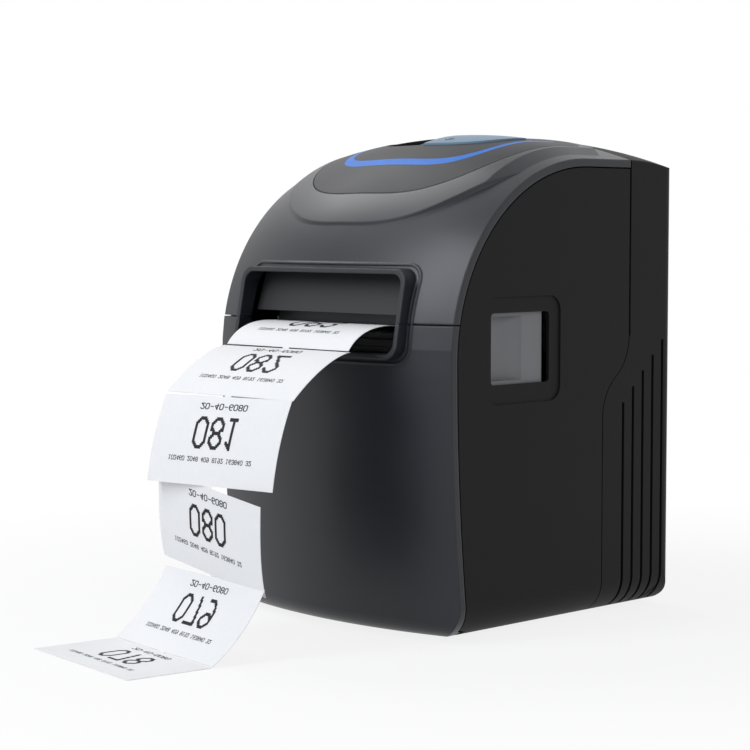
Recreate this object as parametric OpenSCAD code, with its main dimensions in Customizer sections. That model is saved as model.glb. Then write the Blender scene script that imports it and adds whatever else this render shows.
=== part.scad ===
/* [Case] */
// Width across the two flat sides
body_w = 150; // [146:1:160]
// Thickness of the moulded case walls
wall = 2.5; // [2:0.1:3]
// Radius of the crown that runs across the top and the front
crown_r = 250; // [240:1:270]
// Radius of the hood's arch at mid width, seen from the side
arch_r = 100; // [99:0.5:101]
// Distance of the arch centre behind the middle of the case
arch_y = 13; // [12:0.5:14]
// Height of the arch centre above the counter
arch_z = 122.5; // [121:0.5:124]
// Radius of the top's fall behind the hood, at mid width
rear_top_r = 150; // [140:1:180]
// Radius of the slightly bulged lower front, at mid width
front_r = 1000; // [800:10:1500]
// Distance of the back wall behind the middle
back_y = 77; // [76:0.5:80]
// Height of the case's lower edge over the counter
lip_z = 1.6; // [1.4:0.1:2]
// Radius of the long lower edges of the sides
hull_r = 16; // [12:0.5:18]
// Radius of the upright corners at the back
back_corner_r = 6; // [4:0.5:8]
// Rounding of the ridge between the crowned faces and the flat sides
ridge_r = 0.8; // [0.4:0.1:2]
// Height of the hood's own side walls over the side panels
flank_h = 3.7; // [3.2:0.1:4]
// Open seam between neighbouring mouldings
seam = 0.6; // [0.4:0.1:0.8]
// Height of the parting line across the front
part_z = 138.5; // [138:0.1:139]
// Distance of the hood's rear edge behind the middle
hood_back_y = 44; // [43:0.5:45]
// Distance of the lower part of the rear cover's edge behind the middle
rear_edge_y = 25.2; // [24:0.1:27]
// Depth of the grooves in the rear cover
groove_d = 1.3; // [1:0.1:1.6]
// Width of each groove
groove_w = 1.8; // [1.4:0.1:2.4]
// Spacing of the grooves
groove_pitch = 7.2; // [6.5:0.1:7.4]
// Number of grooves on each side
groove_n = 5; // [3:1:5]

/* [Exit] */
// Half width of the paper opening
mouth_hw = 51; // [49:0.5:52]
// Height of the opening's lower edge
mouth_z0 = 125.5; // [125:0.1:126]
// Height of the opening's upper edge
mouth_z1 = 160; // [158:0.5:161]
// Corner radius of the opening
mouth_r = 5; // [3:0.5:6]
// Width of the flat rim round the opening
rim_w = 2.2; // [1.8:0.1:2.6]
// Width of the channel round the rim
rim_gap = 1.5; // [1.2:0.1:1.8]
// Width of the bead round the channel
bead_w = 1; // [0.8:0.1:1.2]
// Height of the bead over the crowned face
bead_h = 0.6; // [0.4:0.1:0.8]
// Forward reach of the rim at the height of its lower edge
rim_y = -87.9; // [-88.5:0.1:-87.5]
// Lean of the rim's front face from upright
rim_lean = 10.8; // [9:0.1:12]

/* [Control panel] */
// Half width of the raised brow
brow_a = 62; // [61:0.5:63]
// Length of the brow ahead of its centre
brow_b = 85; // [82:0.5:87]
// Distance of the brow's centre behind the middle
brow_y = 17; // [16:0.5:18]
// Radius of the brow's own arch at mid width, seen from the side
brow_r = 101.5; // [101:0.1:102]
// Height of the brow over the hood's top line
brow_rise = 0.4; // [0.3:0.1:0.6]
// Crown radius of the brow
brow_crown_r = 310; // [300:5:320]
// Half width of the oval panel
panel_a = 60; // [58:0.5:60.5]
// Length of the panel ahead of the brow's centre
panel_b = 73; // [71:0.5:75]
// Thickness of the panel
panel_t = 2.2; // [2:0.1:2.6]
// Half width of the light band
band_a = 46; // [45:0.5:48]
// Length of the light band ahead of the brow's centre
band_b = 55.5; // [53:0.5:57]
// Width of the light band across its front
band_w = 5; // [4:0.1:6]
// Width of the light band's arms
band_arm = 2.6; // [2:0.1:3.4]
// Half width of the pair of keys
key_a = 39; // [36:0.5:41]
// Length of the keys ahead of the brow's centre
key_b = 34; // [32:0.5:36]
// Distance of the keys' rear edge behind the middle
key_back_y = 12; // [8:0.5:16]
// Height of the feed key over the panel
key_h = 0.8; // [0.6:0.1:1.2]
// Travel of the feed key
key_travel = 1; // [0.6:0.1:1.2]

/* [Paper] */
// Width of the paper
paper_w = 79.5; // [78:0.5:80]
// Thickness of the paper strip
paper_t = 0.35; // [0.3:0.05:0.4]
// Length of one ticket
ticket_l = 39.5; // [38:0.5:40]
// Radius of the full roll
roll_r = 40; // [30:0.5:40.5]
// Radius of the roll's cardboard core
core_r = 9; // [8:0.5:10]
// Distance of the bucket's axis behind the middle
bucket_y = 4; // [3:0.5:5]
// Height of the bucket's axis
bucket_z = 112; // [111:0.5:113]
// Inner radius of the bucket
bucket_r = 43; // [42:0.5:43.5]
// Width of the uncut nib that joins two tickets
nib_w = 4; // [3:0.5:5]

/* [Mechanism] */
// Distance of the platen's axis behind the middle
platen_y = -50; // [-51:0.5:-49]
// Radius of the platen's rubber
platen_r = 7.5; // [7:0.1:8]
// Height of the paper's path
path_z = 136.4; // [136.2:0.1:136.6]
// Radius of the platen's shaft
shaft_r = 3; // [2.5:0.1:3.5]
// Radial clearance of a running fit
fit = 0.04; // [0.02:0.01:0.08]
// Distance of the side frames' inner faces from the middle
frame_x = 47; // [46.5:0.1:48]
// Thickness of the sheet metal
sheet_t = 1.5; // [1:0.1:2]
// Gear module
gear_m = 0.8; // [0.75:0.01:0.82]
// Teeth of the platen gear
platen_teeth = 28; // [26:2:30]
// Teeth of the idler
idler_teeth = 50; // [48:1:51]
// Teeth of the motor pinion
pinion_teeth = 14; // [12:1:15]
// Radius of the feed motor
motor_r = 17.5; // [16:0.5:18]

/* [Hood hinge and latch] */
// Distance of the hinge axis behind the middle
hinge_y = 68; // [67:0.1:68.5]
// Height of the hinge axis
hinge_z = 205; // [204:0.1:206]
// Radius of the hinge pins
hinge_pin_r = 2.5; // [2:0.1:3]
// Distance of the latch shaft behind the middle
latch_y = -44; // [-44.5:0.1:-43.5]
// Height of the latch shaft
latch_z = 116; // [115.5:0.1:116.5]
// Length of the crank from the shaft to the lever's pin
crank_l = 17.2; // [17:0.1:18]
// Travel of the release lever
lever_travel = 6; // [4:0.1:6]
// Front edge of the lever's window
window_y0 = -50; // [-51:0.5:-49]
// Rear edge of the lever's window
window_y1 = -11.7; // [-12:0.1:-11]
// Lower edge of the lever's window
window_z0 = 111.5; // [111:0.1:112]
// Upper edge of the lever's window
window_z1 = 143; // [142:0.1:144]

/* [Hidden] */
$fn = 96;

half_w = body_w / 2;
arch_c = [arch_y, arch_z];
rear_top_c = [hood_back_y, arch_z + arch_r - rear_top_r];
front_c = [arch_y + front_r - arch_r, arch_z];
sag = crown_r - sqrt(crown_r * crown_r - half_w * half_w);
big = 400;
run = 0.3;
platen_z = path_z - run - platen_r;
head_z = path_z + paper_t + run;
hood_z = part_z + seam / 2;
function sag_at(x) = crown_r - sqrt(crown_r * crown_r - x * x);
brow_c = [arch_y, arch_z + arch_r + brow_rise - brow_r];
function brow_at(x) = sqrt(brow_crown_r * brow_crown_r - x * x) - brow_crown_r;

// Flat outline in Y and Z, drawn out along X
module along_x(x0, x1) translate([x0, 0, 0]) rotate([90, 0, 90]) linear_extrude(x1 - x0) children();
// Flat outline in X and Z, drawn out along Y
module along_y(y0, y1) translate([0, y1, 0]) rotate([90, 0, 0]) linear_extrude(y1 - y0) children();
// Flat outline in X and Y, drawn out along Z
module along_z(z0, z1) translate([0, 0, z0]) linear_extrude(z1 - z0) children();
// Section in radius and X, turned about an axis along X: from the front upwards, from the front
// downwards, or from the top forwards
module about_x(c, a) translate([0, c[0], c[1]]) rotate([90, 0, -90]) rotate_extrude(angle = a, $fn = 256) children();
module about_x_down(c, a) translate([0, c[0], c[1]]) mirror([0, 0, 1]) rotate([90, 0, -90])
  rotate_extrude(angle = a, $fn = 256) children();
module about_x_ahead(c, a) translate([0, c[0], c[1]]) mirror([0, 1, 0]) rotate([90, 0, -90]) rotate([0, 0, 90])
  rotate_extrude(angle = a, $fn = 256) children();
// The same section drawn straight back from the top of an arch
module over_top(y0, y1, z = arch_z) along_y(y0, y1) translate([0, z]) rotate(90) children();
// Rod along X
module rod(c, r, x0, x1) translate([x0, c[0], c[1]]) rotate([0, 90, 0]) cylinder(r = r, h = x1 - x0);
// Rods along Y and Z
module rod_z(c, r, z0, z1) translate([c[0], c[1], z0]) cylinder(r = r, h = z1 - z0);
module rod_y(c, r, y0, y1) translate([c[0], y1, c[1]]) rotate([90, 0, 0]) cylinder(r = r, h = y1 - y0);
module both() { children(); mirror([1, 0, 0]) children(); }
module box(x, y, z) translate([x[0], y[0], z[0]]) cube([x[1] - x[0], y[1] - y[0], z[1] - z[0]]);
// Rectangle with true round corners
module rounded(x0, x1, y0, y1, r) {
  translate([x0 + r, y0]) square([x1 - x0 - 2 * r, y1 - y0]);
  translate([x0, y0 + r]) square([x1 - x0, y1 - y0 - 2 * r]);
  for (x = [x0 + r, x1 - r], y = [y0 + r, y1 - r]) translate([x, y]) circle(r);
}

// Crowned section of the case at a given mid radius, inset by a wall; its ridges stay just inside the arc
ridge_tuck = 0.02;
ridge_lap = 0.4;
module crown(rm, off, depth) {
  r = crown_r - off;
  w = half_w - off;
  k = off > 0 ? 0.2 : ridge_r;
  fy = w - k;
  fx = sqrt((r - k) * (r - k) - fy * fy) - ridge_tuck;
  ty = fy * r / (r - k) + k * ridge_lap;
  translate([rm - crown_r, 0]) {
    intersection() { circle(r, $fn = 720); translate([r - depth, -ty]) square([depth, 2 * ty]); }
    translate([r - depth, -w]) square([fx - r + depth, 2 * w]);
    for (s = [-1, 1]) translate([fx, s * fy]) circle(k);
  }
}
// Walls of the crowned case: the skin and its two short flanks
module skin(rm) difference() {
  intersection() {
    crown(rm, 0, 40);
    translate([rm - sag - flank_h + seam / 2, -half_w]) square([sag + flank_h + 1, body_w]);
  }
  crown(rm, wall, 60);
}
// Solid below the crowned top, inset by a wall
module top_lens(off) about_x(rear_top_c, 360) crown(rear_top_r, off, rear_top_r - off);
// Sides and their rolled lower edges, seen from the front
module hull_section(off) rounded(-half_w + off, half_w - off, lip_z + off, 260, hull_r - off);

// Region of the rear cover, seen from the side: its edge sweeps back in two equal arcs
s_dy = hood_back_y - rear_edge_y;
s_z0 = 93;
s_z1 = 130;
s_r = (s_dy * s_dy + (s_z1 - s_z0) * (s_z1 - s_z0)) / (4 * s_dy);
s_turn = asin((s_z1 - s_z0) / 2 / s_r);
s_steps = 12;
module rear_region(g) translate([g, 0]) polygon(concat([[rear_edge_y, -1]],
  [for (i = [0 : s_steps]) let (a = s_turn * i / s_steps) [rear_edge_y + s_r * (1 - cos(a)), s_z0 + s_r * sin(a)]],
  [for (i = [s_steps - 1 : -1 : 0]) let (a = s_turn * i / s_steps) [hood_back_y - s_r * (1 - cos(a)), s_z1 - s_r * sin(a)]],
  [[hood_back_y, 260], [back_y + 60, 260], [back_y + 60, -1]]));

// Outline of a side panel inside the hood's and the front's flanks
module side_region() difference() {
  intersection() {
    translate(front_c) circle(front_r - sag - flank_h - seam / 2 - 0.05, $fn = 1440);
    union() {
      translate(arch_c) circle(arch_r - sag - flank_h - seam / 2, $fn = 720);
      translate([-150, 0]) square([300, arch_z]);
      translate(arch_c) square([100, arch_r - sag - flank_h - seam / 2]);
    }
    translate([-90, 0]) square([180, 230]);
  }
  rear_region(-seam / 2);
  polygon(concat([for (i = [0 : foot_steps]) let (q = front_line(wall)[i])
    [front_axis_y - sqrt(q[0] * q[0] - half_w * half_w) + seam, q[1]]], [[-120, roll_z], [-120, -1], [foot_back_y, -1]]));
}

module side_wall() intersection() {
  difference() {
    along_y(-100, 100) hull_section(0);
    along_y(-101, 101) hull_section(wall);
    box([-base_x - 0.5, base_x + 0.5], [-101, 101], [0, 20]);
  }
  along_x(0, half_w + 1) side_region();
}

window_r = 2;
frame_m = [4.4, 6.9, 8.5, 7];
module side_panel_right() color([0.15, 0.15, 0.16]) difference() {
  side_wall();
  along_x(half_w - 0.8, half_w + 1)
    rounded(window_y0 - frame_m[0], window_y1 + frame_m[1], window_z0 - frame_m[2], window_z1 + frame_m[3], 7);
  along_x(half_w - wall - 1, half_w + 1) rounded(window_y0, window_y1, window_z0, window_z1, window_r);
}
module side_panel_left() color([0.15, 0.15, 0.16]) mirror([1, 0, 0]) side_wall();

// Rear cover: back wall, sides and the top behind the hood in one moulding
module rear_solid(off) intersection() {
  along_z(0, 260) difference() {
    translate([-half_w + off, 0]) square([body_w - 2 * off, back_y - off]);
    for (s = [-1, 1]) translate([s * (half_w - back_corner_r), back_y - back_corner_r]) difference() {
      translate([s > 0 ? 0 : -back_corner_r - 1, 0]) square([back_corner_r + 1, back_corner_r + 1]);
      circle(back_corner_r - off);
    }
  }
  along_y(-1, 120) hull_section(off);
  top_lens(off);
}
port_z = 21.6;
port_h = 13;
ports = [[-22, 10.5], [3, 12.5], [26, 16.5], [48, 14]];
switch_x = -48;
switch_z = 32;
switch_w = 15;
switch_h = 2 * (switch_z - port_z);
rear_rib_r = 5;
hood_gap = 0.9;
module rear_cover() color([0.15, 0.15, 0.16]) difference() {
  union() {
    intersection() {
      difference() {
        rear_solid(0);
        rear_solid(wall);
        box([-base_x - 0.5, base_x + 0.5], [-1, back_y - wall - 0.5], [0, 20]);
      }
      along_x(-big, big) difference() {
        rear_region(seam / 2);
        translate([0, s_z1]) square([hood_back_y + hood_gap, 200]);
      }
    }
    intersection() {
      rod([back_y - 2.1, 20], rear_rib_r, -half_w + hull_r, half_w - hull_r);
      box([-big, big], [back_y - wall, back_y + 10], [0, 60]);
    }
  }
  for (i = [0 : groove_n - 1]) intersection() {
    difference() { rear_solid(-1); rear_solid(groove_d); }
    box([-big, big], [40 + i * groove_pitch - groove_w / 2, 40 + i * groove_pitch + groove_w / 2],
      [lip_z + 2, 99.2 + i * 7.05]);
  }
  for (p = ports) box([p[0] - p[1] / 2 - run, p[0] + p[1] / 2 + run], [back_y - wall - 1, back_y + 9],
    [port_z - run, port_z + port_h + run]);
  box([switch_x - switch_w / 2 - run, switch_x + switch_w / 2 + run], [back_y - wall - 1, back_y + 9],
    [switch_z - switch_h / 2 - run, switch_z + switch_h / 2 + run]);
}

// Flat rim round the paper opening, a channel and a bead that follows the crowned face
module mouth_prism(grow) along_y(-110, -66)
  rounded(-mouth_hw - grow, mouth_hw + grow, mouth_z0 - grow, mouth_z1 + grow, mouth_r + grow * 0.6);
module crowned_front(rise, off) {
  about_x(arch_c, 60) crown(arch_r + rise, off, 40);
  about_x_down(front_c, 4) crown(front_r + rise, off, 40);
}
module rims() difference() {
  union() {
    intersection() {
      mouth_prism(rim_w);
      along_x(-big, big) translate([rim_y, mouth_z0]) rotate(-rim_lean) translate([0, -80]) square([40, 200]);
    }
    intersection() {
      difference() { mouth_prism(rim_w + rim_gap + bead_w); mouth_prism(rim_w + rim_gap); }
      crowned_front(bead_h, 0);
    }
  }
  mouth_hole();
  crowned_front(0, wall / 2);
}
module mouth_hole() along_y(-120, -60) rounded(-mouth_hw, mouth_hw, mouth_z0, mouth_z1, mouth_r);

// Lower front: one upright turn of its side profile, with a rolled foot
foot_roll_r = 8.5;
foot_lift = 0.3;
roll_z = lip_z + foot_lift + foot_roll_r;
front_axis_y = arch_y - arch_r + crown_r;
flank_lap = 0.6;
rim_seam = 0.2;
front_steps = 12;
foot_steps = 8;
function front_at(z) = z > arch_z ? crown_r - arch_r + sqrt(pow(arch_r, 2) - pow(z - arch_z, 2))
  : crown_r - front_r + sqrt(pow(front_r, 2) - pow(z - arch_z, 2));
foot_at = front_at(roll_z) - foot_roll_r;
foot_back_y = front_axis_y - sqrt(foot_at * foot_at - half_w * half_w) + seam;
function front_line(off) = concat(
  [for (i = [0 : foot_steps - 1]) let (a = 90 * i / foot_steps)
    [foot_at + (foot_roll_r - off) * sin(a), roll_z - (foot_roll_r - off) * cos(a)]],
  [for (i = [0 : front_steps]) let (z = roll_z + (part_z - roll_z) * i / front_steps) [front_at(z) - off, z]]);
function back_line(off) = let (l = front_line(off)) [for (i = [len(l) - 1 : -1 : 0]) l[i]];
module front_turn() translate([0, front_axis_y, 0]) rotate([0, 0, 250]) rotate_extrude(angle = 40, $fn = 720) children();
module front_flanks() intersection() {
  difference() {
    along_y(-120, 0) hull_section(0);
    along_y(-121, 1) hull_section(wall);
    box([-base_x - 0.5, base_x + 0.5], [-121, 1], [0, 20]);
  }
  along_x(-big, big) difference() {
    polygon(concat([for (q = front_line(0)) [front_axis_y - sqrt(q[0] * q[0] - half_w * half_w) + flank_lap, q[1]]],
      [[-40, part_z], [-40, lip_z]]));
    translate(arch_c) circle(arch_r - sag - flank_h + seam / 2, $fn = 720);
    intersection() {
      translate(front_c) circle(front_r - sag - flank_h + seam / 2, $fn = 1440);
      translate([-120, -1]) square([200, arch_z + 1]);
    }
  }
}
module front_panel() color([0.22, 0.22, 0.24]) difference() {
  intersection() {
    union() {
      intersection() {
        union() {
          front_turn() polygon(concat(front_line(0), back_line(wall)));
          front_flanks();
        }
        box([-big, big], [-120, 0], [0, part_z - seam / 2]);
      }
      intersection() { rims(); box([-big, big], [-120, 0], [0, hood_z - rim_seam]); }
    }
    along_y(-120, 0) hull_section(0);
  }
  mouth_hole();
}

// Oval outline ahead of and behind the brow's centre
function oval(a, b, back, n) = [for (i = [0 : 2 : 358]) let (c = cos(i), s = sin(i))
  [a * sign(c) * pow(abs(c), 2 / n), brow_y + (s > 0 ? back : b) * sign(s) * pow(abs(s), 2 / n)]];
module oval_prism(a, b, back, n) along_z(140, 260) polygon(oval(a, b, back, n));
// Layer that follows the brow's surface between two depths
module brow_section(rm, d0, d1) difference() {
  intersection() {
    translate([rm - d0 - brow_crown_r, 0]) circle(brow_crown_r, $fn = 720);
    translate([rm - 20, -half_w + 4]) square([40, body_w - 8]);
  }
  translate([rm - d1 - brow_crown_r, 0]) circle(brow_crown_r, $fn = 720);
}
// The brow's own section: its sides fall away into the hood
module brow_sloped(rm) let (e = rm + brow_at(brow_a), out = half_w - brow_a, in = 24) intersection() {
  brow_section(rm, 0, brow_depth);
  polygon([[rm - 20, -half_w], [e - out * brow_fall, -half_w], [e + in * brow_fall, in - brow_a],
    [e + in * brow_fall, brow_a - in], [e - out * brow_fall, half_w], [rm - 20, half_w]]);
}
module brow_body() {
  about_x_ahead(brow_c, 65) brow_sloped(brow_r);
  over_top(brow_c[0], hood_back_y, brow_c[1]) brow_sloped(brow_r);
}
module brow_layer(d0, d1) {
  about_x_ahead(brow_c, 65) brow_section(brow_r, d0, d1);
  over_top(brow_c[0], hood_back_y, brow_c[1]) brow_section(brow_r, d0, d1);
}
oval_n = 3;
brow_n = 2.6;
brow_spread = 12;
brow_fall = 0.56;
band_n = 4;
key_n = 2.8;
brow_back = 23.5;
brow_depth = 9;
panel_back = 21;
key_gap = 0.4;
module key_outline(g) intersection() {
  polygon(oval(key_a + g, key_b + g, 60, key_n));
  translate([-80, -80]) square([160, 80 + key_back_y + g]);
}
module half_keys(side, g) intersection() {
  key_outline(g);
  translate([side > 0 ? 1.5 - g : -81.5 + g, -80]) square([80, 160]);
}

post_x = [41, 43];
hinge_x = [52, 57];
module hood() color([0.24, 0.24, 0.26]) difference() {
  union() {
    intersection() {
      union() {
        about_x(arch_c, 90) skin(arch_r);
        over_top(arch_y, hood_back_y) skin(arch_r);
      }
      box([-half_w, half_w], [-120, hood_back_y], [hood_z, 260]);
    }
    difference() {
      intersection() {
        brow_body();
        oval_prism(brow_a + brow_spread, brow_b, brow_back, brow_n);
      }
      about_x(arch_c, 90) crown(arch_r, wall / 2, 60);
      over_top(arch_y, hood_back_y) crown(arch_r, wall / 2, 60);
    }
    intersection() { rims(); box([-big, big], [-120, 0], [hood_z, 260]); }
  }
  mouth_hole();
  intersection() {
    brow_layer(-3, panel_t + 0.05);
    oval_prism(panel_a + seam / 2, panel_b + seam / 2, panel_back + seam / 2, oval_n);
  }
  along_z(140, 260) intersection() {
    polygon(oval(key_a - 4, key_b - 5, 60, key_n));
    translate([-80, -80]) square([160, 80 + key_back_y - 4]);
  }
  intersection() {
    box([-half_w, half_w], [hood_back_y - 3, hood_back_y + 1], [200, 260]);
    over_top(arch_y, hood_back_y + 2) crown(arch_r, 0.9, 40);
  }
}

module control_panel() color([0.2, 0.2, 0.22]) difference() {
  intersection() { brow_layer(0, panel_t); oval_prism(panel_a, panel_b, panel_back, oval_n); }
  band_prism(0.02);
  along_z(140, 260) { half_keys(1, key_gap); half_keys(-1, 0.05); }
}
module band_prism(g) along_z(140, 260) intersection() {
  difference() {
    polygon(oval(band_a + g, band_b + g, 60, band_n));
    polygon(oval(band_a - band_arm - g, band_b - band_w - g, 60, band_n));
  }
  translate([-80, -80]) square([160, 80 + 24 + g]);
}
module light_band() color([0.3, 0.5, 0.9]) intersection() { brow_layer(0, panel_t - 0.2); band_prism(0); }
module status_window() color([0.03, 0.03, 0.04]) intersection() {
  brow_layer(0.3, panel_t);
  along_z(140, 260) half_keys(-1, 0);
}
// Feed key with the stem that reaches the switch on the panel's board
module feed_key() color([0.4, 0.5, 0.56]) {
  intersection() { brow_layer(-key_h, panel_t - key_travel - 0.3); along_z(140, 260) half_keys(1, 0); }
  rod_z(stem, stem_r, board_z + board_t + switch_t + key_travel + 0.2,
    brow_z(stem[0] + stem_r, stem[1] - stem_r, -key_h) - 0.5);
}
stem = [18, -6];
stem_r = 3;
board_z = 206.5;
board_t = 1.6;
switch_t = 3;
post_r = 2.5;
post_y = 14;
module panel_board() color([0.1, 0.35, 0.2]) {
  box([-32, 32], [-16, post_y + 4], [board_z, board_z + board_t]);
  box([stem[0] - 3, stem[0] + 3], [stem[1] - 3, stem[1] + 3], [board_z + board_t, board_z + board_t + switch_t]);
  for (x = [-26, 26]) rod_z([x, post_y], post_r, board_z + board_t, top_under(abs(x) + post_r, post_y - post_r));
}
// Height of the brow's surface at a depth below it, and of the hood's inner face
function brow_z(x, y, d) = brow_c[1] + sqrt(pow(brow_r + brow_at(x) - d, 2) - pow(brow_c[0] - y, 2));
function top_under(x, y) = arch_z + sqrt(pow(arch_r - wall - sag_at(x), 2) - pow(arch_y - y, 2));

// Plate at the back of the opening, over the slot, hung from the hood by two ribs
plate_rib_x = [28, 30];
module exit_plate() color([0.25, 0.25, 0.27]) {
  along_x(-mouth_hw + 0.5, mouth_hw - 0.5) polygon([[-75, 142], [-73, 142], [-65, 165.5], [-67, 165.5]]);
  both() along_x(plate_rib_x[0], plate_rib_x[1]) intersection() {
    polygon([[-68.2, 160], [-66.4, 160], [-62, 185], [-72, 185]]);
    translate(arch_c) circle(arch_r - wall - sag_at(plate_rib_x[1]) - 0.03, $fn = 360);
  }
}
// Stepped guide under the paper
module exit_guide() color([0.12, 0.12, 0.13]) along_x(-mouth_hw + 0.5, mouth_hw - 0.5)
  polygon([[beam_y, 126], [-78, 126], [-78, 128], [-76, 128], [-76, 131], [-73, 131], [-73, 134], [-70, 134.6],
    [beam_y, 134.6]]);

// Gooseneck arms that carry the hood round the edge of the rear cover
arm_low = 34;
arm_front = 34;
arm_w = 8;
module arm_shape() difference() {
  intersection() {
    union() {
      translate([hinge_y, hinge_z]) circle(arm_w / 2 + 1);
      translate([hinge_y - arm_w / 2, hinge_z - arm_low]) square([arm_w, arm_low]);
      translate([arm_front, hinge_z - arm_low - arm_w / 2]) square([hinge_y - arm_front, arm_w]);
      translate([hinge_y, hinge_z - arm_low]) circle(arm_w / 2);
      translate([arm_front, hinge_z - arm_low]) circle(arm_w / 2);
      translate([arm_front - arm_w / 2, hinge_z - arm_low]) square([arm_w, 60]);
    }
    square([200, arch_z + arch_r - wall - sag_at(hinge_x[1]) - 0.05]);
  }
  translate([hinge_y, hinge_z]) circle(hinge_pin_r + fit);
}
module hinge_arms() color([0.3, 0.3, 0.32]) both() along_x(hinge_x[0], hinge_x[1]) arm_shape();
module hinge_brackets() color([0.7, 0.7, 0.72]) both() {
  along_x(hinge_x[1] + 1.5, hinge_x[1] + 4.5) {
    translate([hinge_y - 6, hinge_z - 22]) square([back_y - wall - hinge_y + 6, 22]);
    translate([hinge_y, hinge_z]) circle(4.4);
  }
  rod([hinge_y, hinge_z], hinge_pin_r, hinge_x[0] - 1.5, hinge_x[1] + 2);
}

base_t = 2.5;
base_x = half_w - 14;
feet = [[-34, -47], [34, -47], [0, 0], [-34, 62], [34, 62]];
foot_r = 7;
screws = [[-53.5, -58], [53.5, -58], [-53.5, 56], [53.5, 56]];
post_in = frame_x + sheet_t + 3.05;
frame_y = [-62, 40];
module base_tray() color([0.13, 0.13, 0.14]) difference() {
  union() {
    along_z(lip_z, lip_z + base_t) intersection() {
      translate([-base_x, -66]) square([2 * base_x, back_y - wall - 1 + 66]);
      translate([0, front_axis_y]) circle(foot_at - 0.5, $fn = 720);
    }
    both() box([base_x - 3, base_x], [-58, back_y - wall - 1], [lip_z, lip_z + 12]);
    for (x = [-50, 50], y = [12, 66]) rod_z([x, y], 3.5, lip_z, port_z - board_t);
    for (x = [-post_in, post_in], y = [-50, -6]) rod_z([x, y], 3, lip_z, lip_z + 8);
  }
  for (p = feet) rod_z(p, foot_r + 0.1, 0, lip_z + 1);
  for (p = screws) {
    rod_z(p, 4, lip_z - 1, lip_z + 1.2);
    rod_z(p, 1.6, lip_z - 1, lip_z + 9);
  }
}
module rubber_feet() color([0.1, 0.1, 0.1]) for (p = feet) rod_z(p, foot_r, 0, lip_z + 1);
module case_screws() color([0.6, 0.6, 0.62]) for (p = screws) {
  rod_z(p, 3, lip_z, lip_z + 1.2);
  rod_z(p, 1.5, lip_z + 1, lip_z + 8);
}

// Side plates of the mechanism
motor_dir = -10;
idler_dir = 11;
mesh_gap = 0.05;
idler_d = gear_m * (platen_teeth + idler_teeth) / 2 + mesh_gap;
pinion_d = gear_m * (idler_teeth + pinion_teeth) / 2 + mesh_gap;
platen_c = [platen_y, platen_z];
idler_c = platen_c + idler_d * [sin(idler_dir), -cos(idler_dir)];
motor_c = idler_c + pinion_d * [sin(motor_dir), -cos(motor_dir)];
latch_c = [latch_y, latch_z];
bush_r = 5;
module frame_outline() difference() {
  polygon([[frame_y[0], lip_z + base_t], [0, lip_z + base_t], [0, 42], [frame_y[1], 42], [frame_y[1], 100], [20, 122],
    [-20, 122], [-34, 132], [-40, 134], [frame_y[0], 134]]);
  translate(platen_c) circle(bush_r + 0.02);
  translate([platen_y - bush_r - 0.02, platen_z]) square([2 * bush_r + 0.04, 20]);
  translate(latch_c) circle(2.5 + fit);
  translate([4, 62]) circle(16);
}
module frame_left() color([0.72, 0.73, 0.75]) difference() {
  along_x(-frame_x - sheet_t, -frame_x) frame_outline();
  rod(motor_c, 5, -frame_x - 3, -frame_x + 1);
  rod(cut_c, 2 + fit, -frame_x - 3, -frame_x + 1);
}
module frame_right() color([0.72, 0.73, 0.75]) difference() {
  along_x(frame_x, frame_x + sheet_t) frame_outline();
  rod(cut_c, 2 + fit, frame_x - 1, frame_x + 3);
}
module platen_bushes() color([0.8, 0.78, 0.7]) both() along_x(frame_x - 0.5, frame_x + sheet_t + 0.5) difference() {
  translate(platen_c) circle(bush_r);
  translate(platen_c) circle(shaft_r + fit);
}
module feed_motor() color([0.55, 0.55, 0.57]) difference() {
  union() {
    rod(motor_c, motor_r, -frame_x, -frame_x + 22);
    rod(motor_c, 4.9, -frame_x - sheet_t, -frame_x + 1);
  }
  rod(motor_c, 1.5 + fit, -frame_x - 3, -frame_x + 14);
}
module idler_post() color([0.7, 0.7, 0.7]) {
  rod(idler_c, 2, -frame_x - sheet_t - 9, -frame_x - sheet_t);
  rod(idler_c, 3.5, -frame_x - sheet_t - 1, -frame_x - sheet_t);
}

// Spur gear outline with straight-sided involute-like teeth
function tooth(n, i, r0, rp, ra, ph) = let (p = 360 / n, a = ph + i * p)
  [[r0, a - p * 0.37], [rp, a - p * 0.235], [ra, a - p * 0.11], [ra, a + p * 0.11], [rp, a + p * 0.235], [r0, a + p * 0.37]];
module gear2d(n, ph, bore) difference() {
  polygon([for (i = [0 : n - 1], q = tooth(n, i, gear_m * n / 2 - 1.1 * gear_m, gear_m * n / 2, gear_m * n / 2 + 0.9 * gear_m, ph))
    [q[0] * cos(q[1]), q[0] * sin(q[1])]]);
  circle(bore);
}
gear_x0 = -frame_x - sheet_t - 8;
gear_x1 = -frame_x - sheet_t - 2;
dir_pi = atan2(idler_c[1] - platen_c[1], idler_c[0] - platen_c[0]);
dir_im = atan2(motor_c[1] - idler_c[1], motor_c[0] - idler_c[0]);
ph_platen = dir_pi;
ph_idler = dir_pi + 180 + 180 / idler_teeth;
ph_motor = dir_im + 180 + 180 / pinion_teeth + (dir_im - ph_idler) * idler_teeth / pinion_teeth;
module platen_gear() color([0.85, 0.85, 0.8]) along_x(gear_x0, gear_x1) translate(platen_c) gear2d(platen_teeth, ph_platen, shaft_r);
module idler_gear() color([0.85, 0.85, 0.8]) along_x(gear_x0, gear_x1) translate(idler_c) difference() {
  gear2d(idler_teeth, ph_idler, 2 + fit);
  for (i = [0 : 5]) rotate(i * 60 + 30) translate([11, 0]) circle(3.6);
}
module motor_pinion() color([0.8, 0.7, 0.4]) {
  along_x(gear_x0, gear_x1) translate(motor_c) gear2d(pinion_teeth, ph_motor, 0.1);
  rod(motor_c, 1.5, gear_x0, -frame_x + 13);
}
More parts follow.
